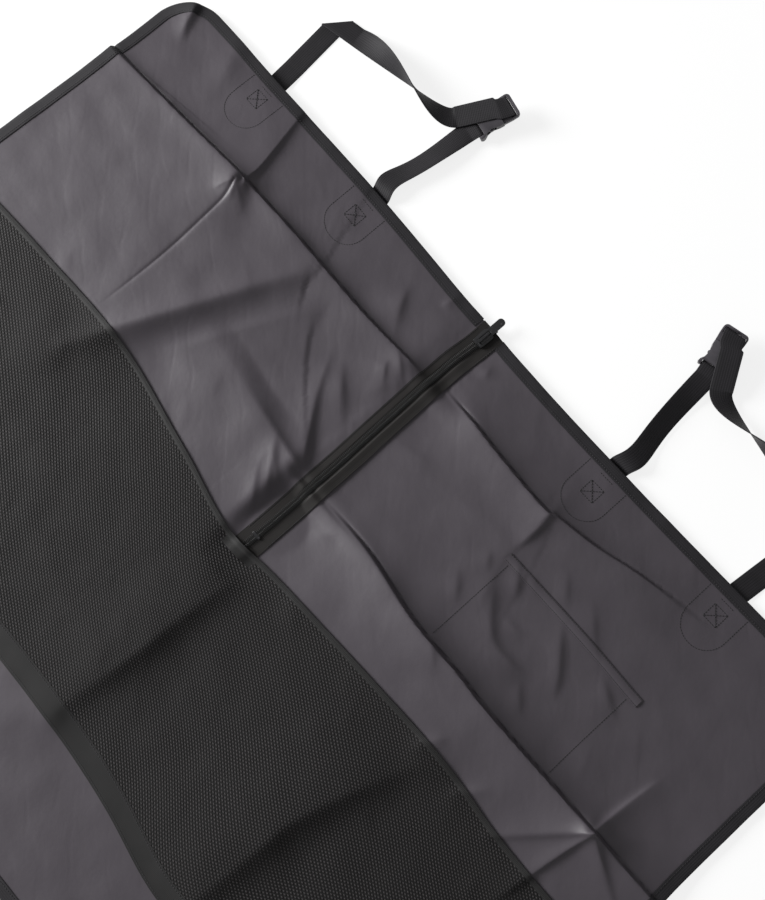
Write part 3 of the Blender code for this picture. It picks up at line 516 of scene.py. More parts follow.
def coated_polyester(name, light, dark, shine):
    """Plain-woven polyester, coated and calendered: satin, with a faint mottle and fine packing crinkle."""
    look, uv, _ = new_look(name)
    mottle = noise(look, uv, 45, 4.0, 0.55)
    # real threads lie 0.25 mm apart; drawn at 0.8 mm so that they show in a close view
    weave = reckoned(look, "MULTIPLY", waves(look, uv, 0.8, "X"), waves(look, uv, 0.8, "Y"))
    crinkle = noise(look, uv, 7, 5.0, 0.6)
    bump = bumped(look, 0.16, 1.0, crinkle, bumped(look, 0.10, 0.4, weave))
    # long thin wrinkles along the grain: sharp lines where a stretched noise crosses its middle
    stretched = node(look, "ShaderNodeMapping", {"Vector": uv, "Rotation": (0, 0, GRAIN), "Scale": (3, 1, 1)},
                     vector_type="TEXTURE")
    middle = reckoned(look, "SUBTRACT", noise(look, stretched[0], 38, 2.0), 0.5)
    away = reckoned(look, "ABSOLUTE", middle)
    line = ranged(look, away, 0.0, 1.0, 0.0, 0.09, interpolation_type="SMOOTHERSTEP")
    bump = bumped(look, 0.10, 1.2, reckoned(look, "MULTIPLY", line, mottle), bump)
    rough = ranged(look, mottle, shine - 0.05, shine + 0.07)
    return surfaced(look, tones(look, mottle, dark, light), rough, bump, {"IOR": 1.5})


def grip_knit_look(name):
    """Open warp knit dipped in soft rubber: matt rhombic nubs, drawn 3 mm apart so that they show, with
    near-black painted shade in the holes between them."""
    look, uv, _ = new_look(name)
    bands = []
    for turn in (0.52, -0.52):
        turned = node(look, "ShaderNodeMapping", {"Vector": uv, "Rotation": (0, 0, turn)})
        bands.append(waves(look, turned[0], 3.0, "Y", {"Distortion": 0.6, "Detail Scale": 3.0}))
    nubs = reckoned(look, "MULTIPLY", *bands)
    wear = noise(look, uv, 30, 3.0)
    # the nub pattern is the knit's own; the near-black #040404 between the nubs is painted shade in its holes
    tone = tones(look, nubs, "#040404", "#403c3d")
    fresh = ranged(look, wear, 0.6, 1.0, 0.3, 0.7)
    # rubbed patches of real wear laid over the nubs and their painted hole shade
    wear_and_hole_shade = node(look, "ShaderNodeMix", {0: fresh, 6: linear("#181717"), 7: tone}, data_type="RGBA")[2]
    bump = bumped(look, 0.7, 1.2, nubs)
    return surfaced(look, wear_and_hole_shade, ranged(look, wear, 0.62, 0.8), bump, {"Specular IOR Level": 0.3})


def ribbed_tape(name, light, dark, across, along):
    """Woven polyester tape: ribs across it and finer warp along it, matt with a faint thread sheen."""
    look, uv, _ = new_look(name)
    ribs = waves(look, uv, across, "Y", {"Distortion": 0.4})
    both = reckoned(look, "ADD", ribs, waves(look, uv, along, "X"))
    share = reckoned(look, "MULTIPLY", both, noise(look, uv, 18, 3.0))
    bump = bumped(look, 0.3, 0.3, both)
    return surfaced(look, tones(look, share, dark, light), 0.68, bump,
                    {"Specular IOR Level": 0.3, "Sheen Weight": 0.05, "Sheen Roughness": 0.4})


def moulded_plastic(name, light, dark, roughness):
    """Injection-moulded acetal or nylon: an even, slightly spark-eroded skin with soft highlights."""
    look, _, place = new_look(name)
    flow = noise(look, place, 9, 3.0)
    bump = bumped(look, 0.08, 0.2, noise(look, place, 0.5, 2.0))
    rough = ranged(look, flow, roughness - 0.06, roughness + 0.06)
    return surfaced(look, tones(look, flow, dark, light), rough, bump, {"IOR": 1.48})


def enamelled_zinc(name):
    """Die-cast zinc under baked black enamel: glossy, with light rub marks where it slides."""
    look, _, place = new_look(name)
    rub = noise(look, place, 2.5, 5.0, 0.7)
    tone = tones(look, ranged(look, rub, 0.0, 1.0, 0.58, 0.72), "#1b1b1d", "#5c5b5f")
    bump = bumped(look, 0.06, 0.2, rub)
    rough = ranged(look, rub, 0.22, 0.42)
    return surfaced(look, tone, rough, bump, {"Coat Weight": 0.4, "Coat Roughness": 0.2})


def sewing_thread(name):
    """Bonded polyester thread: three twisted plies, matt and darker than the cloth."""
    look, _, place = new_look(name)
    ply = noise(look, place, 0.8, 2.0)
    return surfaced(look, tones(look, ply, "#141315", "#2c2a2d"), 0.7, bumped(look, 0.3, 0.2, ply), {})


shell = coated_polyester("coated_polyester_taffeta", "#4a454b", "#413c42", 0.50)
lining = coated_polyester("uncoated_polyester_lining", "#2d2b2f", "#252327", 0.70)
knit_look = grip_knit_look("rubber_dipped_warp_knit")
binding_look = ribbed_tape("grosgrain_binding_tape", "#29272b", "#1c1b1d", 1.1, 2.2)
hem_look = ribbed_tape("twill_hem_tape", "#242323", "#1a1a1a", 0.9, 1.4)
zip_look = ribbed_tape("herringbone_zip_tape", "#1e1b1a", "#161413", 1.0, 1.8)
web_look = ribbed_tape("ribbed_polyester_webbing", "#211f23", "#181719", 1.9, 2.6)
coil_look = moulded_plastic("drawn_nylon_coil", "#171717", "#101010", 0.60)
buckle_look = moulded_plastic("moulded_acetal", "#464348", "#3a383c", 0.40)
enamel = enamelled_zinc("black_enamelled_zinc")
thread_look = sewing_thread("bonded_polyester_thread")


# Cloth panels
INNER = 8.0
SEAM_GAP = 0.4
back_low, back_high = -BACK_DEPTH + SEAM_GAP, -SIDE_MARGIN
FINE_ACROSS = {"left": [(0, 85, 1.7), (285, 345, 1.1)], "right": [(0, 40, 1.8), (425, 450, 1.3)]}
FINE_ALONG = {"left": [(-126, -84, 1.1)], "right": [(-98, -58, 1.1), (-286, -246, 1.1)]}
for side, name in ((-1, "left"), (1, "right")):
    x, y = cornered(side * INNER, side * (HALF_WIDTH - SIDE_MARGIN), back_low, back_high, True,
                    FINE_ACROSS[name], FINE_ALONG[name])
    panel = cloth_sheet(f"back_cloth_{name}", x, y, (0, CLOTH), shell)
    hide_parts(f"back_panel_{name}")
    fold_with_back(panel)

SEAT_END = -617.0
x, y = np.meshgrid(spaced(SIDE_MARGIN - HALF_WIDTH, HALF_WIDTH - SIDE_MARGIN),
                   spaced(SEAT_END, -BACK_DEPTH - SEAM_GAP))
seat = cloth_sheet("seat_cloth", x, y, (0, CLOTH), shell)
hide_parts("seat_panel")
fold_with_back(seat)

left_x, left_y = cornered(0, SIDE_MARGIN - HALF_WIDTH, COVER_END + SIDE_MARGIN, SEAT_END - 0.2, False)
x = np.concatenate([left_x, -left_x[:, -2::-1]], axis=1)
y = np.concatenate([left_y, left_y[:, -2::-1]], axis=1)
front = cloth_sheet("front_cloth", x, y, (0, CLOTH), shell)
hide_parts("front_panel")
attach(front, "seat")

# Grip knit and its hems
mesh_across = spaced(-MESH_HALF, MESH_HALF)
x, y = np.meshgrid(mesh_across, spaced(MESH_END, -349.0))
knit = cloth_sheet("grip_knit", x, y, KNIT_UP, knit_look)
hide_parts("grip_mesh")
fold_with_back(knit)
# the hem rides over the zip's foot and ends in a bead
x, y = np.meshgrid(mesh_across, np.linspace(-357, -343, 15))
rise = 2.9 * np.exp(-((x / 11) ** 4)) + 0.9 * np.exp(-((x / 19) ** 6)) + 0.9 * ease((y + 349.5) / 3)
seam_hem = cloth_sheet("knit_seam_hem", x, y, [up + rise for up in HEM_UP], hem_look)
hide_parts("mesh_seam_hem")
fold_with_back(seam_hem)
x, y = np.meshgrid(mesh_across, np.linspace(-629, -605.3, 10))
front_hem = cloth_sheet("knit_front_hem", x, y, HEM_UP, hem_look)
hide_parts("mesh_front_hem")
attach(front_hem, "seat")

# Pocket under the cloth and the band over its mouth
BAND_MIDDLE, BAND_HALF, BAND_CROWN = -152.7, 5.0, 0.6
BAND_START, BAND_END = 190, 388
x, y = np.meshgrid(spaced(BAND_START, BAND_END, 2.4), BAND_MIDDLE + BAND_HALF * np.linspace(-1, 1, 13))
crown = BAND_CROWN * (1 - ((y - BAND_MIDDLE) / BAND_HALF) ** 2)
band = cloth_sheet("pocket_mouth_band", x, y, [up + crown for up in HEM_UP], shell)
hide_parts("pocket_band")
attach(band, "back")
x, y = np.meshgrid(spaced(195, 378, 3), spaced(-268, -148, 3))
pocket = cloth_sheet("pocket_cloth", x, y, (-0.9, -0.3), lining)
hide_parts("pocket_panel")
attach(pocket, "back")

# Edge binding: a tape folded over the edge, a closed C profile of (inset, height) carried round the outline
BINDING_PROFILE = np.array([
    (13, 1.85), (9.5, 1.85), (6, 1.85), (2.8, 1.85), (0.7, 1.78), (-0.3, 1.45), (-0.6, 0.9), (-0.6, 0.1),
    (-0.3, -0.45), (0.7, -0.78), (2.8, -0.85), (6, -0.85), (9.5, -0.85), (13, -0.85),
    (13, -0.3), (9.5, -0.3), (6, -0.3), (2.8, -0.3), (0.9, -0.22), (0.2, 0.0), (0.0, 0.3), (0.0, 0.7),
    (0.2, 1.0), (0.9, 1.22), (2.8, 1.3), (6, 1.3), (9.5, 1.3), (13, 1.3)])


def outline(corners, step=2.4):
    """Points along straight edges and rounded corners given as (x, y, radius), with the inward normal of a
    path that runs with the cover on its right."""
    points = []
    for k, (x, y, radius) in enumerate(corners):
        here = np.array([x, y], float)
        if radius == 0:
            points.append(here[None])
            continue
        before = np.array(corners[k - 1][:2], float) - here
        after = np.array(corners[k + 1][:2], float) - here
        before, after = before / np.linalg.norm(before), after / np.linalg.norm(after)
        middle = here + (before + after) * radius
        t = np.linspace(0, math.pi / 2, 34)[:, None]
        points.append(middle - after * radius * np.cos(t) - before * radius * np.sin(t))
    knots = np.concatenate(points)
    length = lengths(knots)
    at = np.linspace(0, length[-1], int(length[-1] / step))
    line = np.stack([np.interp(at, length, knots[:, 0]), np.interp(at, length, knots[:, 1])], -1)
    along = units(np.gradient(line, axis=0))
    return line, np.stack([along[:, 1], -along[:, 0]], -1), at


def bound(name, corners, node_name):
    """A run of the edge binding along an outline."""
    line, inward, at = outline(corners)
    flat = line[:, None] + inward[:, None] * BINDING_PROFILE[None, :, :1]
    points, faces = carried(on_cover(flat[..., 0], flat[..., 1], [BINDING_PROFILE[None, :, 1]])[0])
    uv = np.stack(np.broadcast_arrays(lengths(BINDING_PROFILE)[None], at[:, None]), -1) / 1000
    piece = make(name, points, faces, binding_look, uv)
    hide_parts(node_name)
    fold_with_back(piece)


JOIN = -BACK_DEPTH
ZIP_SIDE = 16.7
left_run = [(-HALF_WIDTH, JOIN + 0.3, 0), (-HALF_WIDTH, 0, CORNER), (-ZIP_SIDE, 0, 0)]
right_run = [(ZIP_SIDE, 0, 0), (HALF_WIDTH, 0, CORNER), (HALF_WIDTH, JOIN + 0.3, 0)]
seat_run = [(HALF_WIDTH, JOIN - 0.3, 0), (HALF_WIDTH, COVER_END, CORNER), (-HALF_WIDTH, COVER_END, CORNER),
            (-HALF_WIDTH, JOIN - 0.3, 0)]
bound("edge_tape_back_left", left_run, "binding_back_left")
bound("edge_tape_back_right", right_run, "binding_back_right")
bound("edge_tape_seat", seat_run, "binding_seat")

# Zip: tapes, coils wound from nylon wire, stops
COIL_PITCH = 1.9
COIL_WIRE = 0.36
COIL_RUN = (-357.0, -4.6)
COIL_MIDDLE, COIL_HALF = 2.05, 2.2
ZIP_FOOT = -363.0
TAPE_EDGE = {"left": 14.2, "right": 17.6}
TAPE_ACROSS = np.array([0.12, 1.6, 3.2, 4.3, 4.6, 4.9, 5.3, 6.0, 6.7, 7.3, 8.4, 9.8, 11.2, 12.4, 13.2])
# the tape stands up beside the coil in a lip: height, start, the width it rises in and what stays of it
TAPE_LIP = {"left": (0.7, 4.3, 0.7, 0.1), "right": (1.6, 4.7, 2.6, 0.55)}
for side, name in ((-1, "left"), (1, "right")):
    across = side * np.append(TAPE_ACROSS, TAPE_EDGE[name])
    x, y = np.meshgrid(np.sort(across), spaced(ZIP_FOOT, 0, 2.0))
    y = ZIP_FOOT + (y - ZIP_FOOT) * (1 + (through(x, EDGE_DRIFT) - 0.4) / -ZIP_FOOT)
    rise, begin, width, kept = TAPE_LIP[name]
    crest = begin + width
    lip = rise * ease((abs(x) - begin) / width) * (1 - (1 - kept) * ease((abs(x) - crest) / 8))
    heights = [up + lip * between_stops(y) for up in TAPE_UP]
    tape = cloth_sheet(f"zip_tape_cloth_{name}", x + through(y, ZIP_DRIFT), y, heights, zip_look,
                       drift=False)
    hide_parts(f"zip_tape_{name}")
    fold_with_back(tape)
    # helix: an ellipse 4.4 mm across that advances one pitch a turn, the two halves half a pitch apart
    turns = (COIL_RUN[1] - COIL_RUN[0]) / COIL_PITCH - 0.5
    phase = np.linspace(0, turns * 2 * math.pi, int(turns * 12))
    tall = (COIL_UP[1] - COIL_UP[0]) / 2 - COIL_WIRE
    cy = COIL_RUN[0] + (phase / 2 / math.pi + (0.5 if side > 0 else 0)) * COIL_PITCH
    cx = side * (COIL_MIDDLE - COIL_HALF * np.cos(phase)) + through(cy, ZIP_DRIFT)
    cz = sum(COIL_UP) / 2 + tall * np.sin(phase)
    middle = on_cover(cx, cy, [cz], False)[0] * 1000
    along = units(np.gradient(middle, axis=0))
    sideways = units(np.cross(along, np.array([0.0, 1.0, 0.0])))
    third = np.cross(along, sideways)
    turn = np.arange(6) * math.pi / 3
    rings = middle[:, None] + COIL_WIRE * (np.cos(turn)[None, :, None] * sideways[:, None]
                                           + np.sin(turn)[None, :, None] * third[:, None])
    points, faces = carried(rings / 1000)
    coil = make(f"zip_coil_wire_{name}", points, faces, coil_look, points[:, :2])
    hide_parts(f"zip_coil_{name}")
    fold_with_back(coil)


def dressed(node_name, name, body, look, edge):
    """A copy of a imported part, merged and with its flat faces joined, its edges broken by a bevel."""
    shape = bmesh.new()
    shape.from_mesh(frame["nodes"][node_name].data)
    bmesh.ops.remove_doubles(shape, verts=shape.verts, dist=2e-6)
    bmesh.ops.dissolve_limit(shape, angle_limit=math.radians(2), verts=shape.verts, edges=shape.edges)
    mesh = bpy.data.meshes.new(name)
    shape.to_mesh(mesh)
    shape.free()
    mesh.polygons.foreach_set("use_smooth", np.ones(len(mesh.polygons), bool))
    mesh.materials.clear()
    mesh.materials.append(look)
    piece = bpy.data.objects.new(name, mesh)
    bpy.context.scene.collection.objects.link(piece)
    bevel = piece.modifiers.new("broken_edges", "BEVEL")
    bevel.width = edge / 1000
    bevel.segments = 2
    bevel.limit_method = "ANGLE"
    bevel.angle_limit = math.radians(35)
    bevel.harden_normals = True
    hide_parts(node_name)
    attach(piece, body)


BUCKLE_PARTS = (("socket", "loop"), ("plug", "plug"), ("prong_near", "prong_near"),
                ("prong_far", "prong_far"))
for end in ("top_stop_left", "top_stop_right", "bottom_stop"):
    dressed(f"zip_{end}", f"crimped_{end}", "back", enamel, 0.35)
dressed("zip_slider", "slider_body", "slider", enamel, 0.3)
dressed("zip_puller", "puller_tab", "puller", enamel, 0.35)
for name in ("left", "right"):
    for part, body in BUCKLE_PARTS:
        dressed(f"buckle_{name}_{part}", f"{name}_buckle_{part}", f"{name}_{body}", buckle_look,
                0.4)

# Strap loops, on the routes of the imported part
STRAP_HALF = 12.5
STRAP_THICK = 1.2
HALF_THICK = STRAP_THICK / 2
INNER_X, OUTER_X, TAIL = 198.0, 376.0, 56.0
ROOT_REACH, RUN_IN = 2.0, 8.0
INNER_BOW, INNER_BOW_PEAK = 6.0, 0.18
INNER_ARCH, INNER_ARCH_PEAK = 7.0, 0.085
INNER_ROLL = math.radians(22)
FOLD = np.array([-388.0, 112.5, HALF_THICK])
LEG = np.array([-317.0, 125.5, HALF_THICK])
FOLD_LEAD, LEG_LEAD, STRAP_RETURN = 30.0, 60.0, 8.0
TWIST_EARLY = 1.3
RUN_TURN = math.radians(20)
RUN_LENGTH, RUN_LEAD, RUN_END = 62.5, 27.0, 14.0
BUCKLE_AT = np.array([-186.6, 140.7, 1.5])
BUCKLE_TURN, BUCKLE_PITCH = math.radians(13.12), math.radians(14)
SOCKET_LENGTH, SOCKET_HEIGHT, SOCKET_BAR, SOCKET_BAR_HEIGHT, STRAP_SLOT = 31.0, 9.0, 3.2, 4.4, 3.0
PLUG_LENGTH, PLUG_HEIGHT, LADDER_END, LADDER_SLOT = 20.7, 4.6, 3.5, 2.5
CLEAR = 0.3
AHEAD = np.array([0.0, 1.0, 0.0])


def unit(v):
    """A vector at length 1."""
    return v / np.linalg.norm(v)


def rightward(v):
    """Half a strap's width, level and to the right of a direction in plan."""
    return unit(np.array([v[1], -v[0], 0.0])) * STRAP_HALF


def rolled(level, angle):
    """Half a strap's width turned up from level about the strap's own direction."""
    return level * math.cos(angle) + np.array([0, 0, STRAP_HALF * math.sin(angle)])


def hump(share, peak):
    """A rise from 0 to 1 at the peak that dies away slowly after it: r times e to the 1 - r."""
    return share / peak * math.exp(1 - share / peak)


def in_buckle(y, z, x=0.0, turn=0.0):
    """A strap section over the left buckle: how far along it, how high over its base, how far aside, and how
    far the strap is turned off the buckle's axis."""
    pitch = np.array([[1, 0, 0], [0, math.cos(BUCKLE_PITCH), -math.sin(BUCKLE_PITCH)],
                      [0, math.sin(BUCKLE_PITCH), math.cos(BUCKLE_PITCH)]])
    c, s = math.cos(BUCKLE_TURN), math.sin(BUCKLE_TURN)
    pose = np.array([[c, s, 0], [-s, c, 0], [0, 0, 1]]) @ pitch
    half = np.array([math.cos(turn), -math.sin(turn), 0.0]) * STRAP_HALF
    return BUCKLE_AT + pose @ np.array([x, y, z]), pose @ half


def under_cloth(x, y):
    """Middle of a strap between the cloth and its patch, y past the edge."""
    return np.array([x, y, ground(y) - 1.8])


def socket_route(leave):
    """Inner strap: arched out from under the edge where it leaves it, rolled a little on to one edge, then
    over the socket's bar and back under it."""
    top = (SOCKET_HEIGHT + SOCKET_BAR_HEIGHT) / 2 + CLEAR + HALF_THICK
    low = (SOCKET_HEIGHT - SOCKET_BAR_HEIGHT) / 2 - CLEAR - HALF_THICK
    down = SOCKET_BAR + STRAP_SLOT - HALF_THICK - 0.1
    route = [(under_cloth(-INNER_X, y), rightward(AHEAD))
             for y in (-TAIL, -TAIL / 2, leave, leave + ROOT_REACH)]
    root = np.array([-INNER_X, leave + ROOT_REACH, HALF_THICK])
    entry, entry_half = in_buckle(-RUN_IN, top)
    for share in np.linspace(0.15, 0.98, 34) ** 2:
        middle = root + (entry - root) * share
        middle[0] -= INNER_BOW * hump(share, INNER_BOW_PEAK) ** 2
        roll = INNER_ROLL * math.sin(math.pi * share)
        lift = INNER_ARCH * hump(share, INNER_ARCH_PEAK) + STRAP_HALF * math.sin(roll)
        middle[2] = HALF_THICK + lift + (entry[2] - HALF_THICK) * share**3
        route.append((middle, rolled(rightward(AHEAD) * (1 - share**3) + entry_half * share**3, roll)))
    return route + [(entry, entry_half), in_buckle(SOCKET_BAR, top), in_buckle(down, top - STRAP_THICK),
                    in_buckle(down, low + STRAP_THICK), in_buckle(SOCKET_BAR, low),
                    in_buckle(HALF_THICK, low)]


def plug_route(leave):
    """Outer strap in two runs that meet on its flat fold: out from under the edge to the fold, then half
    twisted along a cubic curve, slantwise over the buckle and round the plug's middle ladder bar."""
    root = np.array([-OUTER_X, leave + ROOT_REACH, HALF_THICK])
    out, onward = unit(FOLD - root), unit(LEG - FOLD)
    crease = unit(out + onward)
    aside = np.array([-crease[1], crease[0], 0.0])
    bend = HALF_THICK + CLEAR
    crease_half = crease * STRAP_HALF / math.sin(math.acos(crease @ out))
    turns = np.linspace(0, math.pi, 17)
    arc = [(FOLD + bend * (aside * math.sin(a) + np.array([0, 0, 1 - math.cos(a)])), crease_half)
           for a in turns]
    first = [(under_cloth(-OUTER_X, y), rightward(AHEAD)) for y in (-TAIL, -TAIL / 2, leave + ROOT_REACH)]
    first += [(root + out * 2 * STRAP_HALF, rightward(out)), (FOLD - out * FOLD_LEAD, rightward(out))]
    first += arc[:9]

    slot = SOCKET_LENGTH + CLEAR + PLUG_LENGTH - LADDER_END - LADDER_SLOT / 2
    top = SOCKET_HEIGHT + 2 * CLEAR + HALF_THICK
    over = (SOCKET_HEIGHT + PLUG_HEIGHT) / 2 + CLEAR + HALF_THICK
    under = (SOCKET_HEIGHT - PLUG_HEIGHT) / 2 - CLEAR - HALF_THICK
    backs = np.append(np.linspace(1, 0.28, 8) * RUN_LENGTH, RUN_END)
    slants = np.append(np.full(8, RUN_TURN), RUN_TURN / 2)
    run_in = [in_buckle(slot - math.cos(slant) * back, top, -math.sin(slant) * back, slant)
              for back, slant in zip(backs, slants)]
    landing, landing_half = run_in[0]
    low = FOLD + onward * FOLD_LEAD + np.array([0.0, 0.0, 2 * bend])
    arriving = unit(np.array([-landing_half[1], landing_half[0], 0.0]))
    guides = np.array([low, low + onward * LEG_LEAD, landing - arriving * RUN_LEAD, landing])
    second = arc[8:]
    for share in np.linspace(0, 1, 40)[:-1]:
        rest = 1 - share
        turn = math.pi * (1 - rest**TWIST_EARLY)
        middle = np.array([rest**3, 3 * rest**2 * share, 3 * rest * share**2, share**3]) @ guides
        middle[2] = STRAP_HALF * math.sin(turn) + low[2] * rest + landing[2] * share**3
        heading = np.array([rest**2, 2 * rest * share, share**2]) @ np.diff(guides, axis=0)
        second.append((middle, rolled(-rightward(heading), turn)))
    second += run_in
    second += [in_buckle(slot - LADDER_END, over + CLEAR), in_buckle(slot - HALF_THICK, over),
               in_buckle(slot + CLEAR, over - STRAP_THICK), in_buckle(slot + CLEAR, under + STRAP_THICK),
               in_buckle(slot - HALF_THICK, under), in_buckle(slot - STRAP_RETURN, under)]
    return first, second


# Webbing across: rounded selvedges and a flat face, as (share of half width, share of half thickness)
WEB_TOP = [(-1, 0.0), (-0.985, 0.72), (-0.94, 1.0), (-0.6, 0.92), (0.0, 0.9), (0.6, 0.92), (0.94, 1.0),
           (0.985, 0.72)]
WEB_PROFILE = np.array(WEB_TOP + [(-a, -b) for a, b in WEB_TOP])


def webbing(name, route, side, node_name):
    """A strap carried along a route of (middle, half across): steps of 2.5 mm at most, corners cut twice."""
    both = np.array([np.concatenate(section) for section in route])
    counts = [max(2, int(np.linalg.norm((b - a)[:3]) / 2.5) + 1) for a, b in zip(both, both[1:])]
    steps = [np.linspace(a, b, count)[:-1] for a, b, count in zip(both, both[1:], counts)]
    both = np.concatenate(steps + [both[-1:]])
    for _ in range(2):
        near, far = 0.75 * both[:-1] + 0.25 * both[1:], 0.25 * both[:-1] + 0.75 * both[1:]
        both = np.concatenate([both[:1], np.stack([near, far], 1).reshape(-1, 6), both[-1:]])
    gap = np.linalg.norm(np.diff(both[:, :3], axis=0), axis=1)
    both = both[np.concatenate([[True], gap > 1e-4])]
    middle, half = both[:, :3] * (side, 1, 1), both[:, 3:] * (side, 1, 1)
    along = np.gradient(middle, axis=0)
    lift = units(np.cross(along, half)) * HALF_THICK
    wide, high = WEB_PROFILE[None, :, :1], WEB_PROFILE[None, :, 1:]
    rings = middle[:, None] + half[:, None] * wide + lift[:, None] * high
    points, faces = carried(placed(rings[..., 0], rings[..., 1], rings[..., 2]))
    at = lengths(middle)
    uv = np.stack(np.broadcast_arrays(WEB_PROFILE[None, :, 0] * STRAP_HALF, at[:, None]), -1) / 1000
    piece = make(name, points, faces, web_look, uv)
    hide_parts(node_name)
    return piece


for side, name in ((1, "left"), (-1, "right")):
    leave = {x: float(through(np.array([-side * x]), EDGE_DRIFT)[0]) for x in (INNER_X, OUTER_X)}
    outer_root, outer_end = plug_route(leave[OUTER_X])
    inner = webbing(f"{name}_socket_strap", socket_route(leave[INNER_X]), side, f"strap_{name}_inner")
    root_run = webbing(f"{name}_plug_strap_root", outer_root, side, f"strap_{name}_outer")
    end_run = webbing(f"{name}_plug_strap_end", outer_end, side, f"strap_{name}_outer")
    for piece, x in ((inner, INNER_X), (root_run, OUTER_X)):
        tuple(placed(-side * x, leave[x], 2.0))
        tuple(placed(-side * x, leave[x] + 20, 2.0))
        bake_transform(piece)
    tuple(placed(-side * 330.0, 122.0, 2.0))
    tuple(placed(-side * 209.0, 131.0, 8.0))
    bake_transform(end_run)

# Reinforcing patches under the straps' sewn ends, bulging over the webbing
PATCH_HALF = 28.0
PATCH_TOP_EDGE, PATCH_LOW_EDGE = -13.3, -75.3
PATCH_RADIUS = 16.0
PATCH_BULGE = 2.2
patch_sites = (("left_outer", -OUTER_X), ("left_inner", -INNER_X), ("right_inner", INNER_X),
               ("right_outer", OUTER_X))
for name, middle_x in patch_sites:
    across = np.linspace(-1, 1, 29) * PATCH_HALF
    past = np.clip(abs(across) - PATCH_HALF + PATCH_RADIUS, 0, None)
    trim = PATCH_RADIUS - np.sqrt(np.clip(PATCH_RADIUS**2 - past**2, 0, None))
    share = np.linspace(0, 1, 31)[:, None]
    y = PATCH_LOW_EDGE + trim + (PATCH_TOP_EDGE - PATCH_LOW_EDGE - trim) * share
    x = np.broadcast_to(across, y.shape)
    bulge = PATCH_BULGE * ease((STRAP_HALF + 5 - abs(x)) / 4.5) * ease((y + TAIL + 8) / 7)
    piece = cloth_sheet(f"patch_cloth_{name}", x + middle_x, y, (-1.0 - bulge, -0.4 - bulge), lining)
    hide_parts(f"strap_patch_{name}")
    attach(piece, "back")


# Stitching
def stitches(path, closed=False):
    """Flat end points of each stitch along a run of plan points."""
    knots = np.array(path + path[:1] if closed else path, float)
    length = lengths(knots)
    count = max(1, int(round(length[-1] / STITCH_PITCH)))
    at = np.arange(count) * length[-1] / count
    ends = np.stack([at + STITCH_GAP / 2, at + length[-1] / count - STITCH_GAP / 2])
    return np.stack([np.interp(ends, length, knots[:, 0]), np.interp(ends, length, knots[:, 1])], -1)


def sewn(name, runs):
    """Stitches as small capsules, four rings of four points each, on runs of (stitch ends, height, drift)."""
    starts, stops = [], []
    for ends, up, drift in runs:
        first, last = on_cover(ends[..., 0], ends[..., 1], [up], drift)[0] * 1000
        starts.append(first)
        stops.append(last)
    start, stop = np.concatenate(starts), np.concatenate(stops)
    along = stop - start
    aside = units(np.stack([along[:, 1], -along[:, 0], np.zeros(len(along))], -1))
    place = np.array([0.0, 0.12, 0.88, 1.0])
    size = np.array([0.35, 1.0, 1.0, 0.35]) * THREAD_RADIUS
    sink = np.array([-0.45, 0.0, 0.0, -0.45]) * THREAD_RADIUS
    turn = np.arange(4) * math.pi / 2
    middle = start[:, None] + along[:, None] * place[None, :, None]
    middle[..., 2] += sink
    wide, high = np.cos(turn)[None, None, :, None], np.sin(turn)[None, None, :, None]
    ring = wide * aside[:, None, None] + high * np.array([0, 0, 1.0])
    points = middle[:, :, None] + ring * size[None, :, None, None]
    one = carried(np.zeros((4, 4, 3)))[1]
    faces = (one[None] + 16 * np.arange(len(start))[:, None, None]).reshape(-1, 4)
    points = points.reshape(-1, 3) / 1000
    return make(name, points, faces, thread_look, points[:, :2], 80)


BINDING_SEWN_IN = 10.5
ZIP_SEWN = (-13.0, 16.4)


def binding_stitches(corners):
    """A stitch line along a bound edge."""
    line, inward, _ = outline(corners)
    return stitches((line + inward * BINDING_SEWN_IN).tolist())


CLOTH_TOP = CLOTH + 0.12
TAPE_TOP = TAPE_UP[1] + 0.1
HEM_TOP = HEM_UP[1] + 0.1
BIND_TOP = BINDING_TOP + 0.1
back_runs = [(binding_stitches(left_run), BIND_TOP, True), (binding_stitches(right_run), BIND_TOP, True)]
for sewn_at in ZIP_SEWN:
    seam = [(sewn_at + float(through(y, ZIP_DRIFT)), y) for y in np.arange(-338.0, -2, 12)]
    back_runs.append((stitches(seam), TAPE_TOP + 0.12, False))
BOX = 9.0
BOX_Y = {"left_outer": -31.5, "left_inner": -36.0, "right_inner": -38.0, "right_outer": -34.0}
for name, middle_x in patch_sites:
    half, top, low, radius = PATCH_HALF - 1.5, -14.0, PATCH_LOW_EDGE + 1.5, 26.0
    bend = [(middle_x - half + radius - radius * math.cos(a), low + radius - radius * math.sin(a))
            for a in np.linspace(0, math.pi / 2, 12)]
    mirrored = [(2 * middle_x - px, py) for px, py in bend[::-1]]
    path = [(middle_x - half, top)] + bend + mirrored + [(middle_x + half, top)]
    back_runs.append((stitches(path), CLOTH_TOP, True))
    box_y = BOX_Y[name]
    corners = [(middle_x + a * BOX, box_y + b * BOX) for a, b in ((-1, -1), (1, -1), (1, 1), (-1, 1))]
    back_runs.append((stitches(corners, True), CLOTH_TOP, True))
    back_runs.append((stitches([corners[0], corners[2]]), CLOTH_TOP + 0.2, True))
    back_runs.append((stitches([corners[1], corners[3]]), CLOTH_TOP + 0.3, True))
    back_runs.append((stitches([(middle_x - BOX, -17), (middle_x + BOX, -17)]), CLOTH_TOP, True))
for inset in (-1, 1):
    row = BAND_MIDDLE + inset * (BAND_HALF - 0.9)
    back_runs.append((stitches([(BAND_START + 0.5, row), (BAND_END - 0.5, row)]), HEM_TOP + 0.15, True))
for x in (197.0, 376.0):
    back_runs.append((stitches([(x, -159), (x, -266)]), CLOTH_TOP, True))
fold_with_back(sewn("stitching_back", back_runs))
seat_runs = [(binding_stitches(seat_run), BIND_TOP, True)]
for y in (-355.0, -345.0, -607.5, -626.5):
    seat_runs.append((stitches([(-526, y), (526, y)]), HEM_TOP, True))
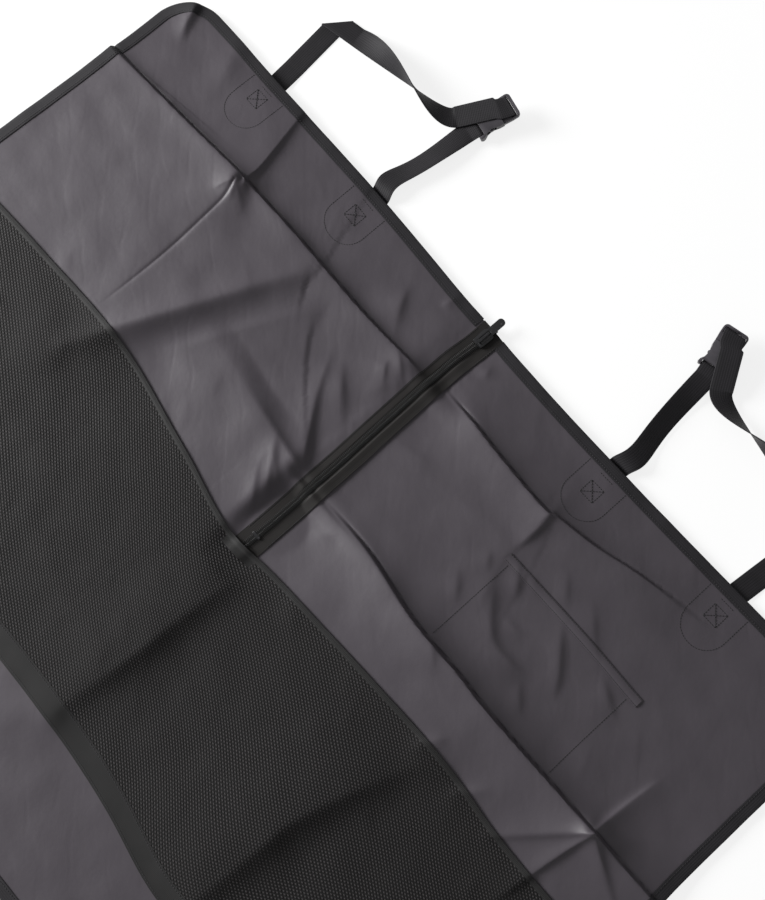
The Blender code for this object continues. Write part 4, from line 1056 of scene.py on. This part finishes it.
fold_with_back(sewn("stitching_seat", seat_runs))

# Floor, light and camera
FLOOR_GLOW = 0.81
FILL = 0.29
KEY_DISTANCE = 3.4
CAMERA_DISTANCE = 1.3255
look = bpy.data.materials.new("white_floor_paint")
look.use_nodes = True
paint = node(look, "ShaderNodeTexNoise", {"Scale": 6.0, "Detail": 2.0})
tone = tones(look, paint[0], "#7c7c7c", "#7f7f7f")
ray = node(look, "ShaderNodeLightPath")
seen = reckoned(look, "MAXIMUM", ray["Is Camera Ray"], ray["Is Glossy Ray"])
seen = reckoned(look, "MAXIMUM", seen, ray["Is Transmission Ray"])
glow = reckoned(look, "MULTIPLY", seen, FLOOR_GLOW)
node(look, "Principled BSDF", {"Base Color": tone, "Roughness": 0.9, "Emission Color": (1, 1, 1, 1),
                               "Emission Strength": glow})
mesh = bpy.data.meshes.new("floor")
mesh.from_pydata([(-4, -4, 0), (4, -4, 0), (4, 4, 0), (-4, 4, 0)], [], [(0, 1, 2, 3)])
mesh.materials.append(look)
floor = bpy.data.objects.new("floor", mesh)
bpy.context.scene.collection.objects.link(floor)

world = bpy.data.worlds.new("studio")
bpy.context.scene.world = world
world.use_nodes = True
ray = node(world, "ShaderNodeLightPath")
sky = node(world, "ShaderNodeMix", {0: ray["Is Camera Ray"], 2: FILL, 3: 1.0}, data_type="FLOAT")
node(world, "Background", {"Color": (1, 1, 1, 1), "Strength": sky[0]})

RIGHT = np.array([0.663273, 0.748377, 0.0])
UP = np.array([-0.732023, 0.648779, 0.207912])
BACK = np.array([0.155595, -0.137902, 0.978148])
TARGET = placed(18.4, -179.2, 0.0)
KEY_ELEVATION = math.radians(22.5)
KEY_TURN = math.radians(19)
heading = -RIGHT * math.cos(KEY_TURN) + np.array([-RIGHT[1], RIGHT[0], 0]) * math.sin(KEY_TURN)
toward = heading * math.cos(KEY_ELEVATION) + np.array([0, 0, math.sin(KEY_ELEVATION)])
lamp = bpy.data.lights.new("window_key", "AREA")
lamp.shape = "RECTANGLE"
lamp.size = 1.7
lamp.size_y = 1.2
lamp.energy = 214
key = bpy.data.objects.new("window_key", lamp)
key.location = TARGET + toward * KEY_DISTANCE
key.rotation_euler = Vector(toward).to_track_quat("Z", "Y").to_euler()
bpy.context.scene.collection.objects.link(key)

lens = bpy.data.cameras.new("camera")
lens.lens = 50
lens.sensor_width = 36
camera = bpy.data.objects.new("camera", lens)
view = Matrix(np.stack([RIGHT, UP, BACK], 1).tolist()).to_4x4()
camera.matrix_world = Matrix.Translation(TARGET + BACK * CAMERA_DISTANCE) @ view
bpy.context.scene.collection.objects.link(camera)
bpy.context.scene.camera = camera
bpy.context.scene.view_settings.view_transform = "Standard"
